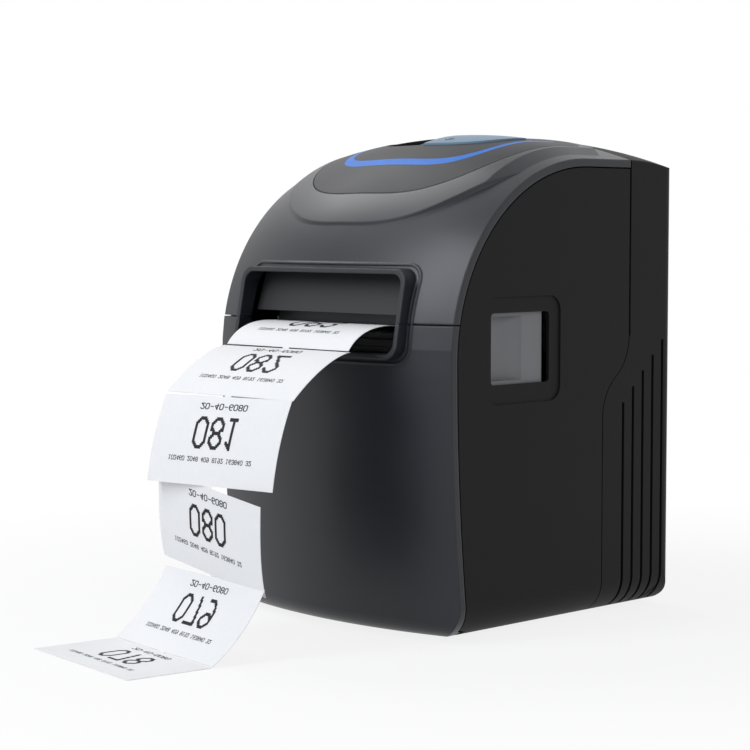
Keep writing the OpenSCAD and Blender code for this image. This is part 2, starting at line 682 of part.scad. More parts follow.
module platen_roller() color([0.08, 0.08, 0.08]) along_x(-42, 42) translate(platen_c) difference() { circle(platen_r); circle(shaft_r); }
module platen_shaft() color([0.75, 0.75, 0.77]) rod(platen_c, shaft_r, gear_x0 - 1, frame_x + sheet_t + 1.5);

module paper_bucket() color([0.16, 0.16, 0.17]) {
  along_x(-42.5, 42.5) {
    difference() {
      translate([bucket_y, bucket_z]) circle(bucket_r + 2);
      translate([bucket_y, bucket_z]) circle(bucket_r);
      translate([-100, bucket_z + 8]) square([300, 100]);
      translate([bucket_y - bucket_r - 10, bucket_z - 3]) square([20, 30]);
    }
  }
  along_x(-42.5, 42.5) polygon([[-40.7, 107], [-38.7, 106], [-34.5, 128], [-32, 134], [-33, path_z - run], [-37.5, path_z - run], [-38, 128]]);
  both() along_x(42.5, frame_x) translate([bucket_y, bucket_z]) difference() {
    circle(bucket_r + 2);
    circle(bucket_r - 6);
    translate([-100, -28]) square([300, 100]);
  }
}
module paper_sensor() color([0.05, 0.05, 0.06]) box([20, 28], [-41.6, -38], [129, path_z - 0.6]);

// Guillotine under the paper
blade_y = [-65.6, -64.6];
cut_rack_y = -62.6;
cut_n = 10;
cut_rp = gear_m * cut_n / 2;
cut_c = [cut_rack_y + cut_rp + mesh_gap, 117];
rack_x = [34, 40];
blade_top = path_z - 1;
module rack2d(z0, z1, ph) polygon(concat(
  [[blade_y[1], z0], [blade_y[1], z1], [cut_rack_y - 1.1 * gear_m, z1]],
  [for (z = [floor((z1 - ph) / (PI * gear_m)) - 1 : -1 : ceil((z0 - ph) / (PI * gear_m)) + 1])
    let (c = ph + z * PI * gear_m, p = PI * gear_m)
    each [[cut_rack_y - 1.1 * gear_m, c + p * 0.37], [cut_rack_y, c + p * 0.235], [cut_rack_y + 0.9 * gear_m, c + p * 0.11],
      [cut_rack_y + 0.9 * gear_m, c - p * 0.11], [cut_rack_y, c - p * 0.235], [cut_rack_y - 1.1 * gear_m, c - p * 0.37]]],
  [[cut_rack_y - 1.1 * gear_m, z0]]));
module cutter_blade() color([0.8, 0.82, 0.85]) {
  along_y(blade_y[0], blade_y[1]) polygon([[-44, 104], [44, 104], [44, blade_top], [4, blade_top - 2.2],
    [4, blade_top - 9], [-4, blade_top - 9], [-4, blade_top - 2.2], [-44, blade_top]]);
  both() along_x(rack_x[0], rack_x[1]) rack2d(104, 124, cut_c[1]);
}
module cutter_shaft() color([0.75, 0.75, 0.77]) {
  rod(cut_c, 2, -frame_x - sheet_t - 1, frame_x + sheet_t + 3);
  both() along_x(rack_x[0], rack_x[1]) translate(cut_c) gear2d(cut_n, 180 + 180 / cut_n, 1.9);
}
module cutter_motor() color([0.5, 0.5, 0.52]) difference() {
  rod(cut_c, 7.5, frame_x + sheet_t, frame_x + sheet_t + 12);
  rod(cut_c, 2 + fit, frame_x, frame_x + sheet_t + 5);
}
// Beam that ties the frames, guides the blade and carries the exit guide
beam_y = -67.4;
module cutter_beam() color([0.6, 0.6, 0.62]) {
  box([-frame_x, frame_x], [beam_y, blade_y[0] - run], [100, path_z - 2]);
  both() box([44.3, frame_x], [blade_y[0] - run, -61.5], [100, path_z - 2]);
}
module fixed_blade() color([0.8, 0.82, 0.85]) box([-44, 44], [-67, blade_y[0] - run], [path_z + paper_t + 0.4, 148]);

// Carrier that hangs the print head under the hood
module carrier_side(x) intersection() {
  along_x(x, x + 2) polygon([[-60, 146], [-38, 146], [-38, 152], [-30, 175], [-20, 230], [-80, 230], [-62, 160]]);
  along_x(-big, big) translate(arch_c) circle(arch_r - wall - sag_at(post_x[1]) - 0.03);
}
striker_c = [latch_y, 147.3];
module head_carrier() color([0.3, 0.3, 0.32]) {
  both() carrier_side(post_x[0]);
  box([-post_x[1], post_x[1]], [-60, -40], [150, 152]);
  box([-44, 44], [-67, -60], [148, 150]);
  box([-44, 44], [-61.5, -60], [148, 152]);
  both() rod(striker_c, 2, post_x[0] + 1, frame_x - 0.6);
}
module heat_sink() color([0.7, 0.71, 0.73]) difference() {
  box([-40.5, 40.5], [-58, -42], [head_z + 1, 144]);
  for (y = [-55 : 4 : -45]) box([-50, 50], [y, y + 1.6], [141.5, 145]);
}
module print_head() color([0.9, 0.88, 0.8]) box([-40.5, 40.5], [-57, -43], [head_z, head_z + 1]);
// Coil spring: one tube swept along a helix
function coil(r, h, turns, tube, sides, rings) = [for (i = [0 : turns * rings]) let (t = i / rings * 360, z = h * i / (turns * rings))
  for (j = [0 : sides - 1]) let (a = j * 360 / sides)
  [(r + tube * cos(a)) * cos(t), (r + tube * cos(a)) * sin(t), z + tube * sin(a)]];
module coil_spring(r, h, turns, tube) {
  sides = 6;
  rings = 8;
  n = turns * rings;
  polyhedron(points = coil(r, h, turns, tube, sides, rings), faces = concat(
    [[for (j = [0 : sides - 1]) j]], [[for (j = [sides - 1 : -1 : 0]) n * sides + j]],
    [for (i = [0 : n - 1], j = [0 : sides - 1]) let (a = i * sides + j, b = i * sides + (j + 1) % sides) each
      [[a, a + sides, b + sides], [a, b + sides, b]]]));
}
module head_springs() color([0.7, 0.7, 0.72]) for (x = [-25, 25])
  translate([x, -50, 144.55]) coil_spring(3, 4.9, 4, 0.5);

// Release lever in the right side, its guide, spring and the latch
lever_x = [half_w - 10.8, half_w - 2.8];
crank_x = [lever_x[0] - 8.7, lever_x[0] - 5.7];
lever_y = [-58, -14.6];
lever_z = [109.2, 145.3];
scoop_r = 16;
module release_lever() color([0.62, 0.63, 0.66]) difference() {
  union() {
    along_x(lever_x[0], lever_x[1]) rounded(lever_y[0], lever_y[1], lever_z[0], lever_z[1], 2);
    rod([latch_y, latch_z + crank_l], 2, crank_x[0] - 0.5, lever_x[0] + 1);
  }
  translate([lever_x[1] + scoop_r - 5, -39.6, 113.2]) cylinder(r = scoop_r, h = 28.2);
  box([lever_x[0] - 1, lever_x[1] - 2.5], [lever_y[0] - 1, lever_y[0] + 8], [lever_z[0] + 12, lever_z[1] - 12]);
}
guide_x = lever_x[0] - 2.6;
module lever_guide() color([0.14, 0.14, 0.15]) {
  for (z = [lever_z[1] + run, lever_z[0] - run - 2]) box([lever_x[0] - 4.2, half_w - wall], [-66, -4], [z, z + 2]);
  difference() {
    box([guide_x, lever_x[0] - run], [-66, -4], [lever_z[0] - 2, lever_z[1] + 2]);
    along_x(guide_x - 1, lever_x[0] + 1) rounded(latch_y - 4, latch_y + 4 + lever_travel, latch_z + crank_l - 4, latch_z + crank_l + 4, 3);
  }
  box([guide_x, lever_x[1] - 0.2], [-67, -65], [lever_z[0] - 2, lever_z[1] + 2]);
}
module lever_spring() color([0.7, 0.7, 0.72])
  translate([lever_x[0] + 2.8, -64.5, (lever_z[0] + lever_z[1]) / 2]) rotate([-90, 0, 0]) coil_spring(2, 14, 5, 0.4);
hook_x = [43.6, 46.6];
module hook2d() {
  translate(latch_c) circle(5);
  polygon([[latch_y - 4, latch_z], [latch_y + 4, latch_z], [latch_y + 9, latch_z + 24], [latch_y + 9, 153.5], [latch_y - 3, 153.5],
    [latch_y - 3, 149.7], [latch_y + 4, 149.7], [latch_y + 3.6, latch_z + 24]]);
}
module latch_shaft() color([0.5, 0.5, 0.52]) {
  rod(latch_c, 2.5, -frame_x - sheet_t - 1, crank_x[1]);
  both() along_x(hook_x[0], hook_x[1]) hook2d();
  along_x(crank_x[0], crank_x[1]) difference() {
    union() {
      translate(latch_c) circle(5);
      translate(latch_c + [-4.5, 0]) square([9, crank_l + 5]);
    }
    translate(latch_c + [-2.3, crank_l - 3]) square([4.6, 9]);
  }
}

// Roll of paper on its core
roll_c = [bucket_y, bucket_z - bucket_r + roll_r + run];
module paper_roll() color([0.95, 0.95, 0.94]) along_x(-paper_w / 2, paper_w / 2) translate(roll_c) difference() { circle(roll_r); circle(core_r); }
module paper_core() color([0.7, 0.58, 0.42]) along_x(-paper_w / 2, paper_w / 2) translate(roll_c) difference() { circle(core_r); circle(core_r - 1.8); }

// Paper from the roll to the cutter and the tickets that hang from it: one closed sheet, full width
// along each ticket and as narrow as the uncut nib between two
cut_gap = 0.9;
nib_l = 0.7;
nib_t = 0.7 * paper_t;
floor_z = 0.6;
steps = 10;
cut_y = (blade_y[0] + blade_y[1]) / 2;
guide_y = -35;
web_d = roll_r + 0.6;
web_v = [guide_y - roll_c[0], path_z - roll_c[1]];
web_a = atan2(web_v[1], web_v[0]) - acos(web_d / norm(web_v));
web_p = roll_c + web_d * [cos(web_a), sin(web_a)];
// Each ticket: turn of its right side forwards, lean, pitch at its start and end, power of the bend
hanging = [[0, 0, -6, 55, 2], [-2, 0, 0, 42, 0.45], [-2, 1, 63, 81, 1], [7, -6, 93, 107, 2]];
function across(r) = [cos(r[0]) * cos(r[1]), -sin(r[0]) * cos(r[1]), sin(r[1])];
function ahead(r) = let (f = [-sin(r[0]), -cos(r[0]), 0], e = across(r), g = f - e * (f * e)) g / norm(g);
function dir_at(r, t) = let (p = r[2] + (r[3] - r[2]) * pow(t, r[4]), d = cross(ahead(r), across(r)))
  ahead(r) * cos(p) + (d[2] < 0 ? d : -d) * sin(p);
function walk(r, p, i = 0) = i >= steps ? [p]
  : concat([p], walk(r, p + dir_at(r, (i + 0.5) / steps) * ticket_l / steps, i + 1));
function after(r, line) = line[steps] + dir_at(r, 1) * nib_l;
function chain(rs, k, p) = k >= len(rs) ? []
  : let (w = walk(rs[k], p)) concat([w], chain(rs, k + 1, after(rs[k], w)));
strip_start = [0, cut_y - cut_gap, path_z + paper_t / 2];
hang_lines = chain(hanging, 0, strip_start);
hang_end = after(hanging[3], hang_lines[3]);
landing_bend = 15;
landing_mean = asin((hang_end[2] - floor_z) / (ticket_l * sin(landing_bend) / (landing_bend * PI / 180)));
runs = concat(hanging, [[8, 0, landing_mean + landing_bend, landing_mean - landing_bend, 1], [8, 0, 0, 0, 1]]);
tickets = chain(runs, 0, strip_start);
function normal_at(r, t) = cross(across(r), dir_at(r, t));
// One cross-section of the sheet: centre, direction across, normal, width and thickness
function cut_at(k, t, i, w, h) = [tickets[k][i], across(runs[k]), normal_at(runs[k], t), w, h];
function ticket_cuts(k) = concat([cut_at(k, 0, 0, nib_w, nib_t)],
  [for (i = [0 : steps]) cut_at(k, i / steps, i, paper_w, paper_t)],
  k < len(runs) - 1 ? [cut_at(k, 1, steps, nib_w, nib_t)] : []);
web_x = [1, 0, 0];
web_end = [0, cut_y + cut_gap, path_z + paper_t / 2];
web_cuts = [[[0, web_p[0], web_p[1]], web_x, [0, 0.27, 0.96], paper_w, paper_t],
  [[0, guide_y, path_z + 0.35], web_x, [0, 0.2, 0.98], paper_w, paper_t],
  [[0, guide_y - 2.5, path_z + paper_t / 2], web_x, [0, 0, 1], paper_w, paper_t],
  [web_end, web_x, [0, 0, 1], paper_w, paper_t], [web_end, web_x, [0, 0, 1], nib_w, nib_t]];
strip_cuts = concat(web_cuts, [for (k = [0 : len(runs) - 1]) each ticket_cuts(k)]);
function corners(c) = [for (q = [[-1, -1], [1, -1], [1, 1], [-1, 1]])
  c[0] + c[1] * q[0] * c[3] / 2 + c[2] * q[1] * c[4] / 2];
module ticket_strip() color([0.97, 0.97, 0.97]) {
  last = 4 * (len(strip_cuts) - 1);
  polyhedron(points = [for (c = strip_cuts) each corners(c)], faces = concat(
    [[0, 1, 2, 3]], [[last + 3, last + 2, last + 1, last]],
    [for (i = [0 : len(strip_cuts) - 2], j = [0 : 3]) let (a = i * 4 + j, b = i * 4 + (j + 1) % 4) each
      [[a, a + 4, b + 4], [a, b + 4, b]]]));
}

// Main board with its sockets and the power switch at the back
module main_board() color([0.1, 0.35, 0.2]) {
  box([-56, 58], [4, back_y - wall - 1.5], [port_z - board_t, port_z]);
  for (p = [[-30, 20, 18, 4], [5, 25, 14, 3], [34, 18, 20, 12]]) box([p[0], p[0] + p[2]], [p[1], p[1] + p[2]], [port_z, port_z + p[3]]);
}
module socket(p, cav, depth) difference() {
  box([p[0] - p[1] / 2, p[0] + p[1] / 2], [back_y - 16, back_y + 0.4], [port_z, port_z + port_h]);
  box([p[0] - cav[0] / 2, p[0] + cav[0] / 2], [back_y + 0.4 - depth, back_y + 2], [port_z + 2, port_z + 2 + cav[1]]);
}
module dc_inlet() color([0.06, 0.06, 0.06]) {
  difference() {
    box([ports[0][0] - ports[0][1] / 2, ports[0][0] + ports[0][1] / 2], [back_y - 16, back_y + 0.4], [port_z, port_z + port_h]);
    rod_y([ports[0][0], port_z + 6.5], 4, back_y - 10, back_y + 2);
  }
  rod_y([ports[0][0], port_z + 6.5], 1, back_y - 11, back_y - 2);
}
module usb_port() color([0.75, 0.75, 0.77]) socket(ports[1], [8.6, 8], 9);
module lan_port() color([0.72, 0.72, 0.74]) socket(ports[2], [12, 9], 12);
module drawer_port() color([0.06, 0.06, 0.06]) socket(ports[3], [10, 8], 12);
module switch_body() color([0.05, 0.05, 0.06]) {
  difference() {
    box([switch_x - switch_w / 2, switch_x + switch_w / 2], [back_y - 16, back_y + 1.5], [switch_z - switch_h / 2, switch_z + switch_h / 2]);
    box([switch_x - 5.6, switch_x + 5.6], [back_y - 9, back_y + 9], [switch_z - 8.2, switch_z + 8.2]);
  }
  rod([back_y - 4, switch_z], 1, switch_x - 6, switch_x + 6);
}
rocker_a = 16;
module power_rocker() color([0.07, 0.07, 0.08]) along_x(switch_x - 5.2, switch_x + 5.2) translate([back_y - 4, switch_z]) rotate(rocker_a / 2) difference() {
  polygon([[-2.5, -2.2], [-2.5, 2.2], [1, 7.2], [5.6, 7.2], [4.4, 0], [5.6, -7.2], [1, -7.2]]);
  circle(1 + fit);
}

base_tray();
rubber_feet();
case_screws();
front_panel();
side_panel_right();
side_panel_left();
rear_cover();
frame_left();
frame_right();
paper_bucket();
platen_bushes();
feed_motor();
idler_post();
cutter_beam();
cutter_motor();
exit_guide();
main_board();
dc_inlet();
usb_port();
lan_port();
drawer_port();
switch_body();
hinge_brackets();
lever_guide();
lever_spring();
paper_sensor();
ticket_strip();
hood();
exit_plate();
control_panel();
light_band();
status_window();
panel_board();
hinge_arms();
head_carrier();
fixed_blade();
heat_sink();
print_head();
head_springs();
feed_key();
platen_roller();
platen_shaft();
platen_gear();
idler_gear();
motor_pinion();
paper_roll();
paper_core();
release_lever();
latch_shaft();
power_rocker();
cutter_blade();
cutter_shaft();
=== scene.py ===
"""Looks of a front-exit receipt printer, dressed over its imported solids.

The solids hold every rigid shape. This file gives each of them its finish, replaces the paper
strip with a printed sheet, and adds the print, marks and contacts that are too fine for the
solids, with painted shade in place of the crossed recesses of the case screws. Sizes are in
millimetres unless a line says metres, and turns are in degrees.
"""

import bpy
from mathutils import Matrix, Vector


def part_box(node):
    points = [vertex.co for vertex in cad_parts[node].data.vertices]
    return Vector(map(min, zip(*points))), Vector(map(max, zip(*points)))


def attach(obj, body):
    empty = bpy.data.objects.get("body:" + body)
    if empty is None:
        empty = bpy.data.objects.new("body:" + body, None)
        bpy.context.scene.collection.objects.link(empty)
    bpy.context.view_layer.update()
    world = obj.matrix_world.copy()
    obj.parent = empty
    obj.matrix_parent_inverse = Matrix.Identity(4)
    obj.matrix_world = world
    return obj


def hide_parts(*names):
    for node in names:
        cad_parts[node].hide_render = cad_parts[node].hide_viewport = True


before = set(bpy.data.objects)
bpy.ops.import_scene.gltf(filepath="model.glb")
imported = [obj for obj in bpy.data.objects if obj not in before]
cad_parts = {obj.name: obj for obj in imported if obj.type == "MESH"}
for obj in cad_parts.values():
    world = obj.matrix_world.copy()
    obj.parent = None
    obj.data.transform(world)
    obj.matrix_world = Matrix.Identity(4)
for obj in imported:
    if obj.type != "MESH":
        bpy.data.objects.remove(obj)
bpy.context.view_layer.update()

import logging
import math
from dataclasses import dataclass, field
from enum import Enum
from typing import Sequence

import bmesh
import bpy
from mathutils import Euler, Matrix, Vector
from mathutils.bvhtree import BVHTree

MM = 0.001
EDGE_SAMPLES = 4
DARK_STOP, LIGHT_STOP = 0.3, 0.7
SIZE_INPUTS = ("Width", "Length", "Height")
X_AXIS = Vector((1.0, 0.0, 0.0))
Y_AXIS = Vector((0.0, 1.0, 0.0))
Z_AXIS = Vector((0.0, 0.0, 1.0))
Colour = tuple[float, float, float]
Size = tuple[float, float, float]
WHITE: Colour = (1.0, 1.0, 1.0)
log = logging.getLogger("printer")


def shade(colour: Colour, share: float) -> Colour:
    """A colour times a share."""
    return tuple(part * share for part in colour)


class Body(str, Enum):
    """Rigid bodies that carry pieces of this file."""

    BASE = "base"
    FEED_KEY = "feed_key"
    ROCKER = "rocker"


class NodeBoard:
    """Short way of laying out one material's nodes."""

    def __init__(self, name: str) -> None:
        """Starts an empty material.

        Args:
            name: Name of the material.
        """
        self.material = bpy.data.materials.new(name)
        self.material.use_nodes = True
        self.tree = self.material.node_tree
        self.tree.nodes.clear()
        self.output = self.add("ShaderNodeOutputMaterial")
        self.shader = self.add("ShaderNodeBsdfPrincipled")
        self.link(self.shader, "BSDF", self.output, "Surface")

    def add(self, kind: str, **values: object) -> bpy.types.Node:
        """Adds a node and sets its properties or input values.

        Args:
            kind: Blender's name of the node type.
            values: Properties, or inputs with spaces written as underscores.

        Returns:
            The new node.
        """
        node = self.tree.nodes.new(kind)
        for key, value in values.items():
            if hasattr(node, key):
                setattr(node, key, value)
            else:
                node.inputs[key.replace("_", " ")].default_value = value
        return node

    def link(self, source: bpy.types.Node, out: str | int,
             target: bpy.types.Node, into: str | int) -> None:
        """Links one node's output to another's input."""
        self.tree.links.new(source.outputs[out], target.inputs[into])

    def fix(self, **values: float | Sequence[float]) -> None:
        """Sets the shader's own sockets, with spaces in their names written as underscores."""
        for key, value in values.items():
            self.shader.inputs[key.replace("_", " ")].default_value = value

    def place(self, scale: Sequence[float] = (1.0, 1.0, 1.0)) -> bpy.types.Node:
        """Object coordinates through a Mapping node.

        Args:
            scale: Scale of the pattern along each axis.

        Returns:
            The Mapping node.
        """
        where = self.add("ShaderNodeTexCoord")
        mapping = self.add("ShaderNodeMapping")
        mapping.inputs["Scale"].default_value = scale
        self.link(where, "Object", mapping, "Vector")
        return mapping

    def noise(self, mapping: bpy.types.Node, scale: float, detail: float) -> bpy.types.Node:
        """Noise texture on a mapping.

        Args:
            mapping: Node that gives the coordinates.
            scale: Cells in a metre.
            detail: Octaves of detail.

        Returns:
            The noise node.
        """
        noise = self.add("ShaderNodeTexNoise", Scale=scale, Detail=detail)
        self.link(mapping, "Vector", noise, "Vector")
        return noise

    def tint(self, source: bpy.types.Node, dark: tuple[float, Colour],
             light: tuple[float, Colour]) -> bpy.types.Node:
        """Colour ramp from a texture, into the shader's base colour.

        Args:
            source: Texture node that gives the value.
            dark: Position and colour of the lower stop.
            light: Position and colour of the upper stop.

        Returns:
            The ramp node.
        """
        ramp = self.add("ShaderNodeValToRGB")
        for element, (position, colour) in zip(ramp.color_ramp.elements, (dark, light)):
            element.position = position
            element.color = (*colour, 1.0)
        self.link(source, "Fac", ramp, "Fac")
        self.link(ramp, "Color", self.shader, "Base Color")
        return ramp

    def roughen(self, source: bpy.types.Node, middle: float, swing: float) -> None:
        """Roughness that follows a texture.

        Args:
            source: Texture node that gives the value.
            middle: Roughness at its middle value.
            swing: Change of roughness towards either end.
        """
        node = self.add("ShaderNodeMapRange", To_Min=middle - swing, To_Max=middle + swing)
        self.link(source, "Fac", node, "Value")
        self.link(node, "Result", self.shader, "Roughness")

    def bump(self, source: bpy.types.Node, strength: float, depth: float, edge: float) -> None:
        """Bump over softly rounded edges, into the shader's normal.

        Args:
            source: Texture node that gives the height.
            strength: Strength of the bump.
            depth: Depth of the grain in metres.
            edge: Radius of the rounded edges in metres, or 0 for none.
        """
        node = self.add("ShaderNodeBump", Strength=strength, Distance=depth)
        self.link(source, "Fac", node, "Height")
        if edge > 0:
            rounding = self.add("ShaderNodeBevel", samples=EDGE_SAMPLES, Radius=edge)
            self.link(rounding, "Normal", node, "Normal")
        self.link(node, "Normal", self.shader, "Normal")


@dataclass(frozen=True)
class Moulding:
    """Moulded plastic or rubber: spark-eroded grain, faint mottling and rounded edges."""

    name: str
    colour: Colour
    roughness: float
    grain: float = 0.12
    grain_cells: float = 2600.0
    grain_depth: float = 0.05 * MM
    mottle: float = 0.12
    mottle_cells: float = 35.0
    wear: float = 0.04
    specular: float = 0.5
    refraction: float = 1.5
    edge: float = 0.3 * MM

    def make(self) -> bpy.types.Material:
        """Builds the material.

        Returns:
            The finished material.
        """
        board = NodeBoard(self.name)
        where = board.place()
        cloud = board.noise(where, self.mottle_cells, detail=4.0)
        board.tint(cloud, (DARK_STOP, shade(self.colour, 1 - self.mottle)),
                   (LIGHT_STOP, shade(self.colour, 1 + self.mottle)))
        board.roughen(cloud, self.roughness, self.wear)
        grain = board.noise(where, self.grain_cells, detail=2.0)
        board.bump(grain, self.grain, self.grain_depth, self.edge)
        board.fix(Specular_IOR_Level=self.specular, IOR=self.refraction)
        return board.material


@dataclass(frozen=True)
class Metal:
    """Rolled, drawn or turned metal with fine brush marks along X."""

    name: str
    colour: Colour
    roughness: float
    polish: float = 0.08
    brush: float = 0.08
    brush_cells: float = 1800.0
    brush_stretch: float = 0.08
    brush_depth: float = 0.02 * MM
    shadow: float = 0.85
    edge: float = 0.15 * MM

    def make(self) -> bpy.types.Material:
        """Builds the material.

        Returns:
            The finished material.
        """
        board = NodeBoard(self.name)
        where = board.place((self.brush_stretch, 1.0, 1.0))
        marks = board.noise(where, self.brush_cells, detail=4.0)
        board.tint(marks, (DARK_STOP, shade(self.colour, self.shadow)), (LIGHT_STOP, self.colour))
        board.roughen(marks, self.roughness, self.polish)
        board.bump(marks, self.brush, self.brush_depth, self.edge)
        board.fix(Metallic=1.0)
        return board.material


@dataclass(frozen=True)
class Paper:
    """Coated paper: faint fibres and a soft sheen."""

    name: str
    colour: Colour
    fibre: float = 0.03
    fibre_cells: float = 900.0
    fibre_stretch: float = 0.4
    fibre_stop: float = 0.25
    relief: float = 0.06
    depth: float = 0.03 * MM
    roughness: float = 0.62
    specular: float = 0.3

    def make(self) -> bpy.types.Material:
        """Builds the material.

        Returns:
            The finished material.
        """
        board = NodeBoard(self.name)
        where = board.place((1.0, self.fibre_stretch, self.fibre_stretch))
        fibres = board.noise(where, self.fibre_cells, detail=6.0)
        board.tint(fibres, (self.fibre_stop, shade(self.colour, 1 - self.fibre)),
                   (LIGHT_STOP, self.colour))
        board.bump(fibres, self.relief, self.depth, edge=0.0)
        board.fix(Roughness=self.roughness, Specular_IOR_Level=self.specular)
        return board.material


@dataclass(frozen=True)
class Glow:
    """Tinted light guide, lit softly from behind."""

    name: str
    colour: Colour
    strength: float
    roughness: float = 0.4
    specular: float = 0.1
    shadow: float = 0.88
    frost: float = 0.05
    frost_cells: float = 500.0
    frost_depth: float = 0.02 * MM
    edge: float = 0.2 * MM

    def make(self) -> bpy.types.Material:
        """Builds the material.

        Returns:
            The finished material.
        """
        board = NodeBoard(self.name)
        frost = board.noise(board.place(), self.frost_cells, detail=3.0)
        tint = board.tint(frost, (DARK_STOP, shade(self.colour, self.shadow)),
                          (LIGHT_STOP, self.colour))
        board.link(tint, "Color", board.shader, "Emission Color")
        board.fix(Emission_Strength=self.strength, Roughness=self.roughness,
                  Specular_IOR_Level=self.specular)
        board.bump(frost, self.frost, self.frost_depth, self.edge)
        return board.material


@dataclass(frozen=True)
class RolledPaper:
    """Wound paper: fine rings on its ends from the edges of the turns."""

    name: str
    colour: Colour
    turns: float = 900.0
    waver: float = 1.5
    shadow: float = 0.86
    light_stop: float = 0.6
    relief: float = 0.1
    depth: float = 0.03 * MM
    edge: float = 0.2 * MM
    roughness: float = 0.65

    def make(self) -> bpy.types.Material:
        """Builds the material.

        Returns:
            The finished material.
        """
        board = NodeBoard(self.name)
        low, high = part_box("paper_roll")
        where = board.place()
        where.inputs["Location"].default_value = (low + high) / -2
        rings = board.add("ShaderNodeTexWave", wave_type="RINGS", rings_direction="X",
                          Scale=self.turns, Distortion=self.waver)
        board.link(where, "Vector", rings, "Vector")
        board.tint(rings, (0.0, shade(self.colour, self.shadow)), (self.light_stop, self.colour))
        board.bump(rings, self.relief, self.depth, self.edge)
        board.fix(Roughness=self.roughness)
        return board.material


class Finish(Enum):
    """Finishes of the printer, each made once."""

    SHELL = Moulding("satin_charcoal_shell", (0.0095, 0.0110, 0.0165), 0.36, grain=0.08,
                     grain_cells=3200.0, mottle=0.06, specular=0.42, edge=1.1 * MM)
    SIDE = Moulding("matt_black_side", (0.0070, 0.0066, 0.0078), 0.58, grain=0.22,
                    grain_cells=2200.0, mottle=0.08, specular=0.16)
    PANEL = Moulding("smooth_control_panel", (0.0140, 0.0145, 0.0170), 0.46, grain=0.05,
                     grain_cells=3200.0, mottle=0.05, specular=0.2)
    WINDOW = Moulding("black_status_window", (0.003, 0.003, 0.004), 0.30, grain=0.0,
                      grain_cells=2000.0, mottle=0.02, specular=0.02, refraction=1.02,
                      edge=0.2 * MM)
    KEY = Moulding("blue_grey_key", (0.165, 0.262, 0.360), 0.38, grain=0.03, mottle=0.06,
                   specular=0.15)
    LEVER = Moulding("grey_lever", (0.185, 0.188, 0.200), 0.42, grain=0.10, grain_cells=2400.0,
                     mottle=0.05, specular=0.4)
    EXIT = Moulding("grey_exit_plate", (0.0190, 0.0190, 0.0215), 0.50, grain=0.10,
                    grain_cells=2400.0, mottle=0.08, specular=0.35)
    INNER = Moulding("black_inner_moulding", (0.0075, 0.0075, 0.0085), 0.5, grain=0.15,
                     grain_cells=2400.0, mottle=0.1, specular=0.3)
    BUCKET = Moulding("grey_inner_moulding", (0.030, 0.030, 0.033), 0.5, grain=0.15,
                      grain_cells=2400.0, mottle=0.1)
    ACETAL = Moulding("ivory_acetal", (0.62, 0.60, 0.54), 0.4, grain=0.05, grain_cells=2000.0,
                      mottle=0.04)
    CERAMIC = Moulding("glazed_ceramic", (0.55, 0.52, 0.44), 0.15, grain=0.02,
                       grain_cells=2000.0, mottle=0.05)
    RUBBER = Moulding("black_rubber", (0.012, 0.012, 0.012), 0.75, grain=0.3,
                      grain_cells=1800.0, mottle=0.15, specular=0.3)
    BOARD = Moulding("green_board", (0.010, 0.085, 0.035), 0.35, grain=0.1, grain_cells=900.0,
                     mottle=0.2)
    CARD = Moulding("roll_core_card", (0.42, 0.31, 0.20), 0.85, grain=0.3, grain_cells=1200.0,
                    specular=0.2)
    MARK = Moulding("pale_pad_print", (0.34, 0.36, 0.38), 0.55, grain=0.05, mottle=0.05,
                    specular=0.3, edge=0.0)
    # dark pad print on the feed key; the same dark is painted shade in the screw recesses
    DARK_PRINT_AND_SHADE = Moulding("dark_pad_print_and_painted_shade", (0.012, 0.016, 0.020), 0.50, grain=0.05,
                         mottle=0.05, specular=0.3, edge=0.0)
    INK = Moulding("thermal_print", (0.022, 0.019, 0.022), 0.7, grain=0.0, grain_cells=2000.0,
                   mottle=0.3, specular=0.2, edge=0.0)
    STEEL = Metal("brushed_steel", (0.60, 0.61, 0.63), 0.32)
    BLADE = Metal("blackened_blade", (0.045, 0.045, 0.05), 0.42)
    DARK_STEEL = Metal("plated_motor_can", (0.33, 0.33, 0.35), 0.40)
    ALUMINIUM = Metal("extruded_aluminium", (0.68, 0.69, 0.71), 0.38)
    BRASS = Metal("turned_brass", (0.72, 0.56, 0.27), 0.28)
    PAPER = Paper("coated_ticket_paper", (0.84, 0.84, 0.845))
    ROLL = RolledPaper("wound_ticket_paper", (0.82, 0.82, 0.81))
    BAND = Glow("blue_light_band", (0.020, 0.135, 0.50), 0.32)

    def material(self) -> bpy.types.Material:
        """The finish's material, made at its first use."""
        made = bpy.data.materials.get(self.value.name)
        return made or self.value.make()


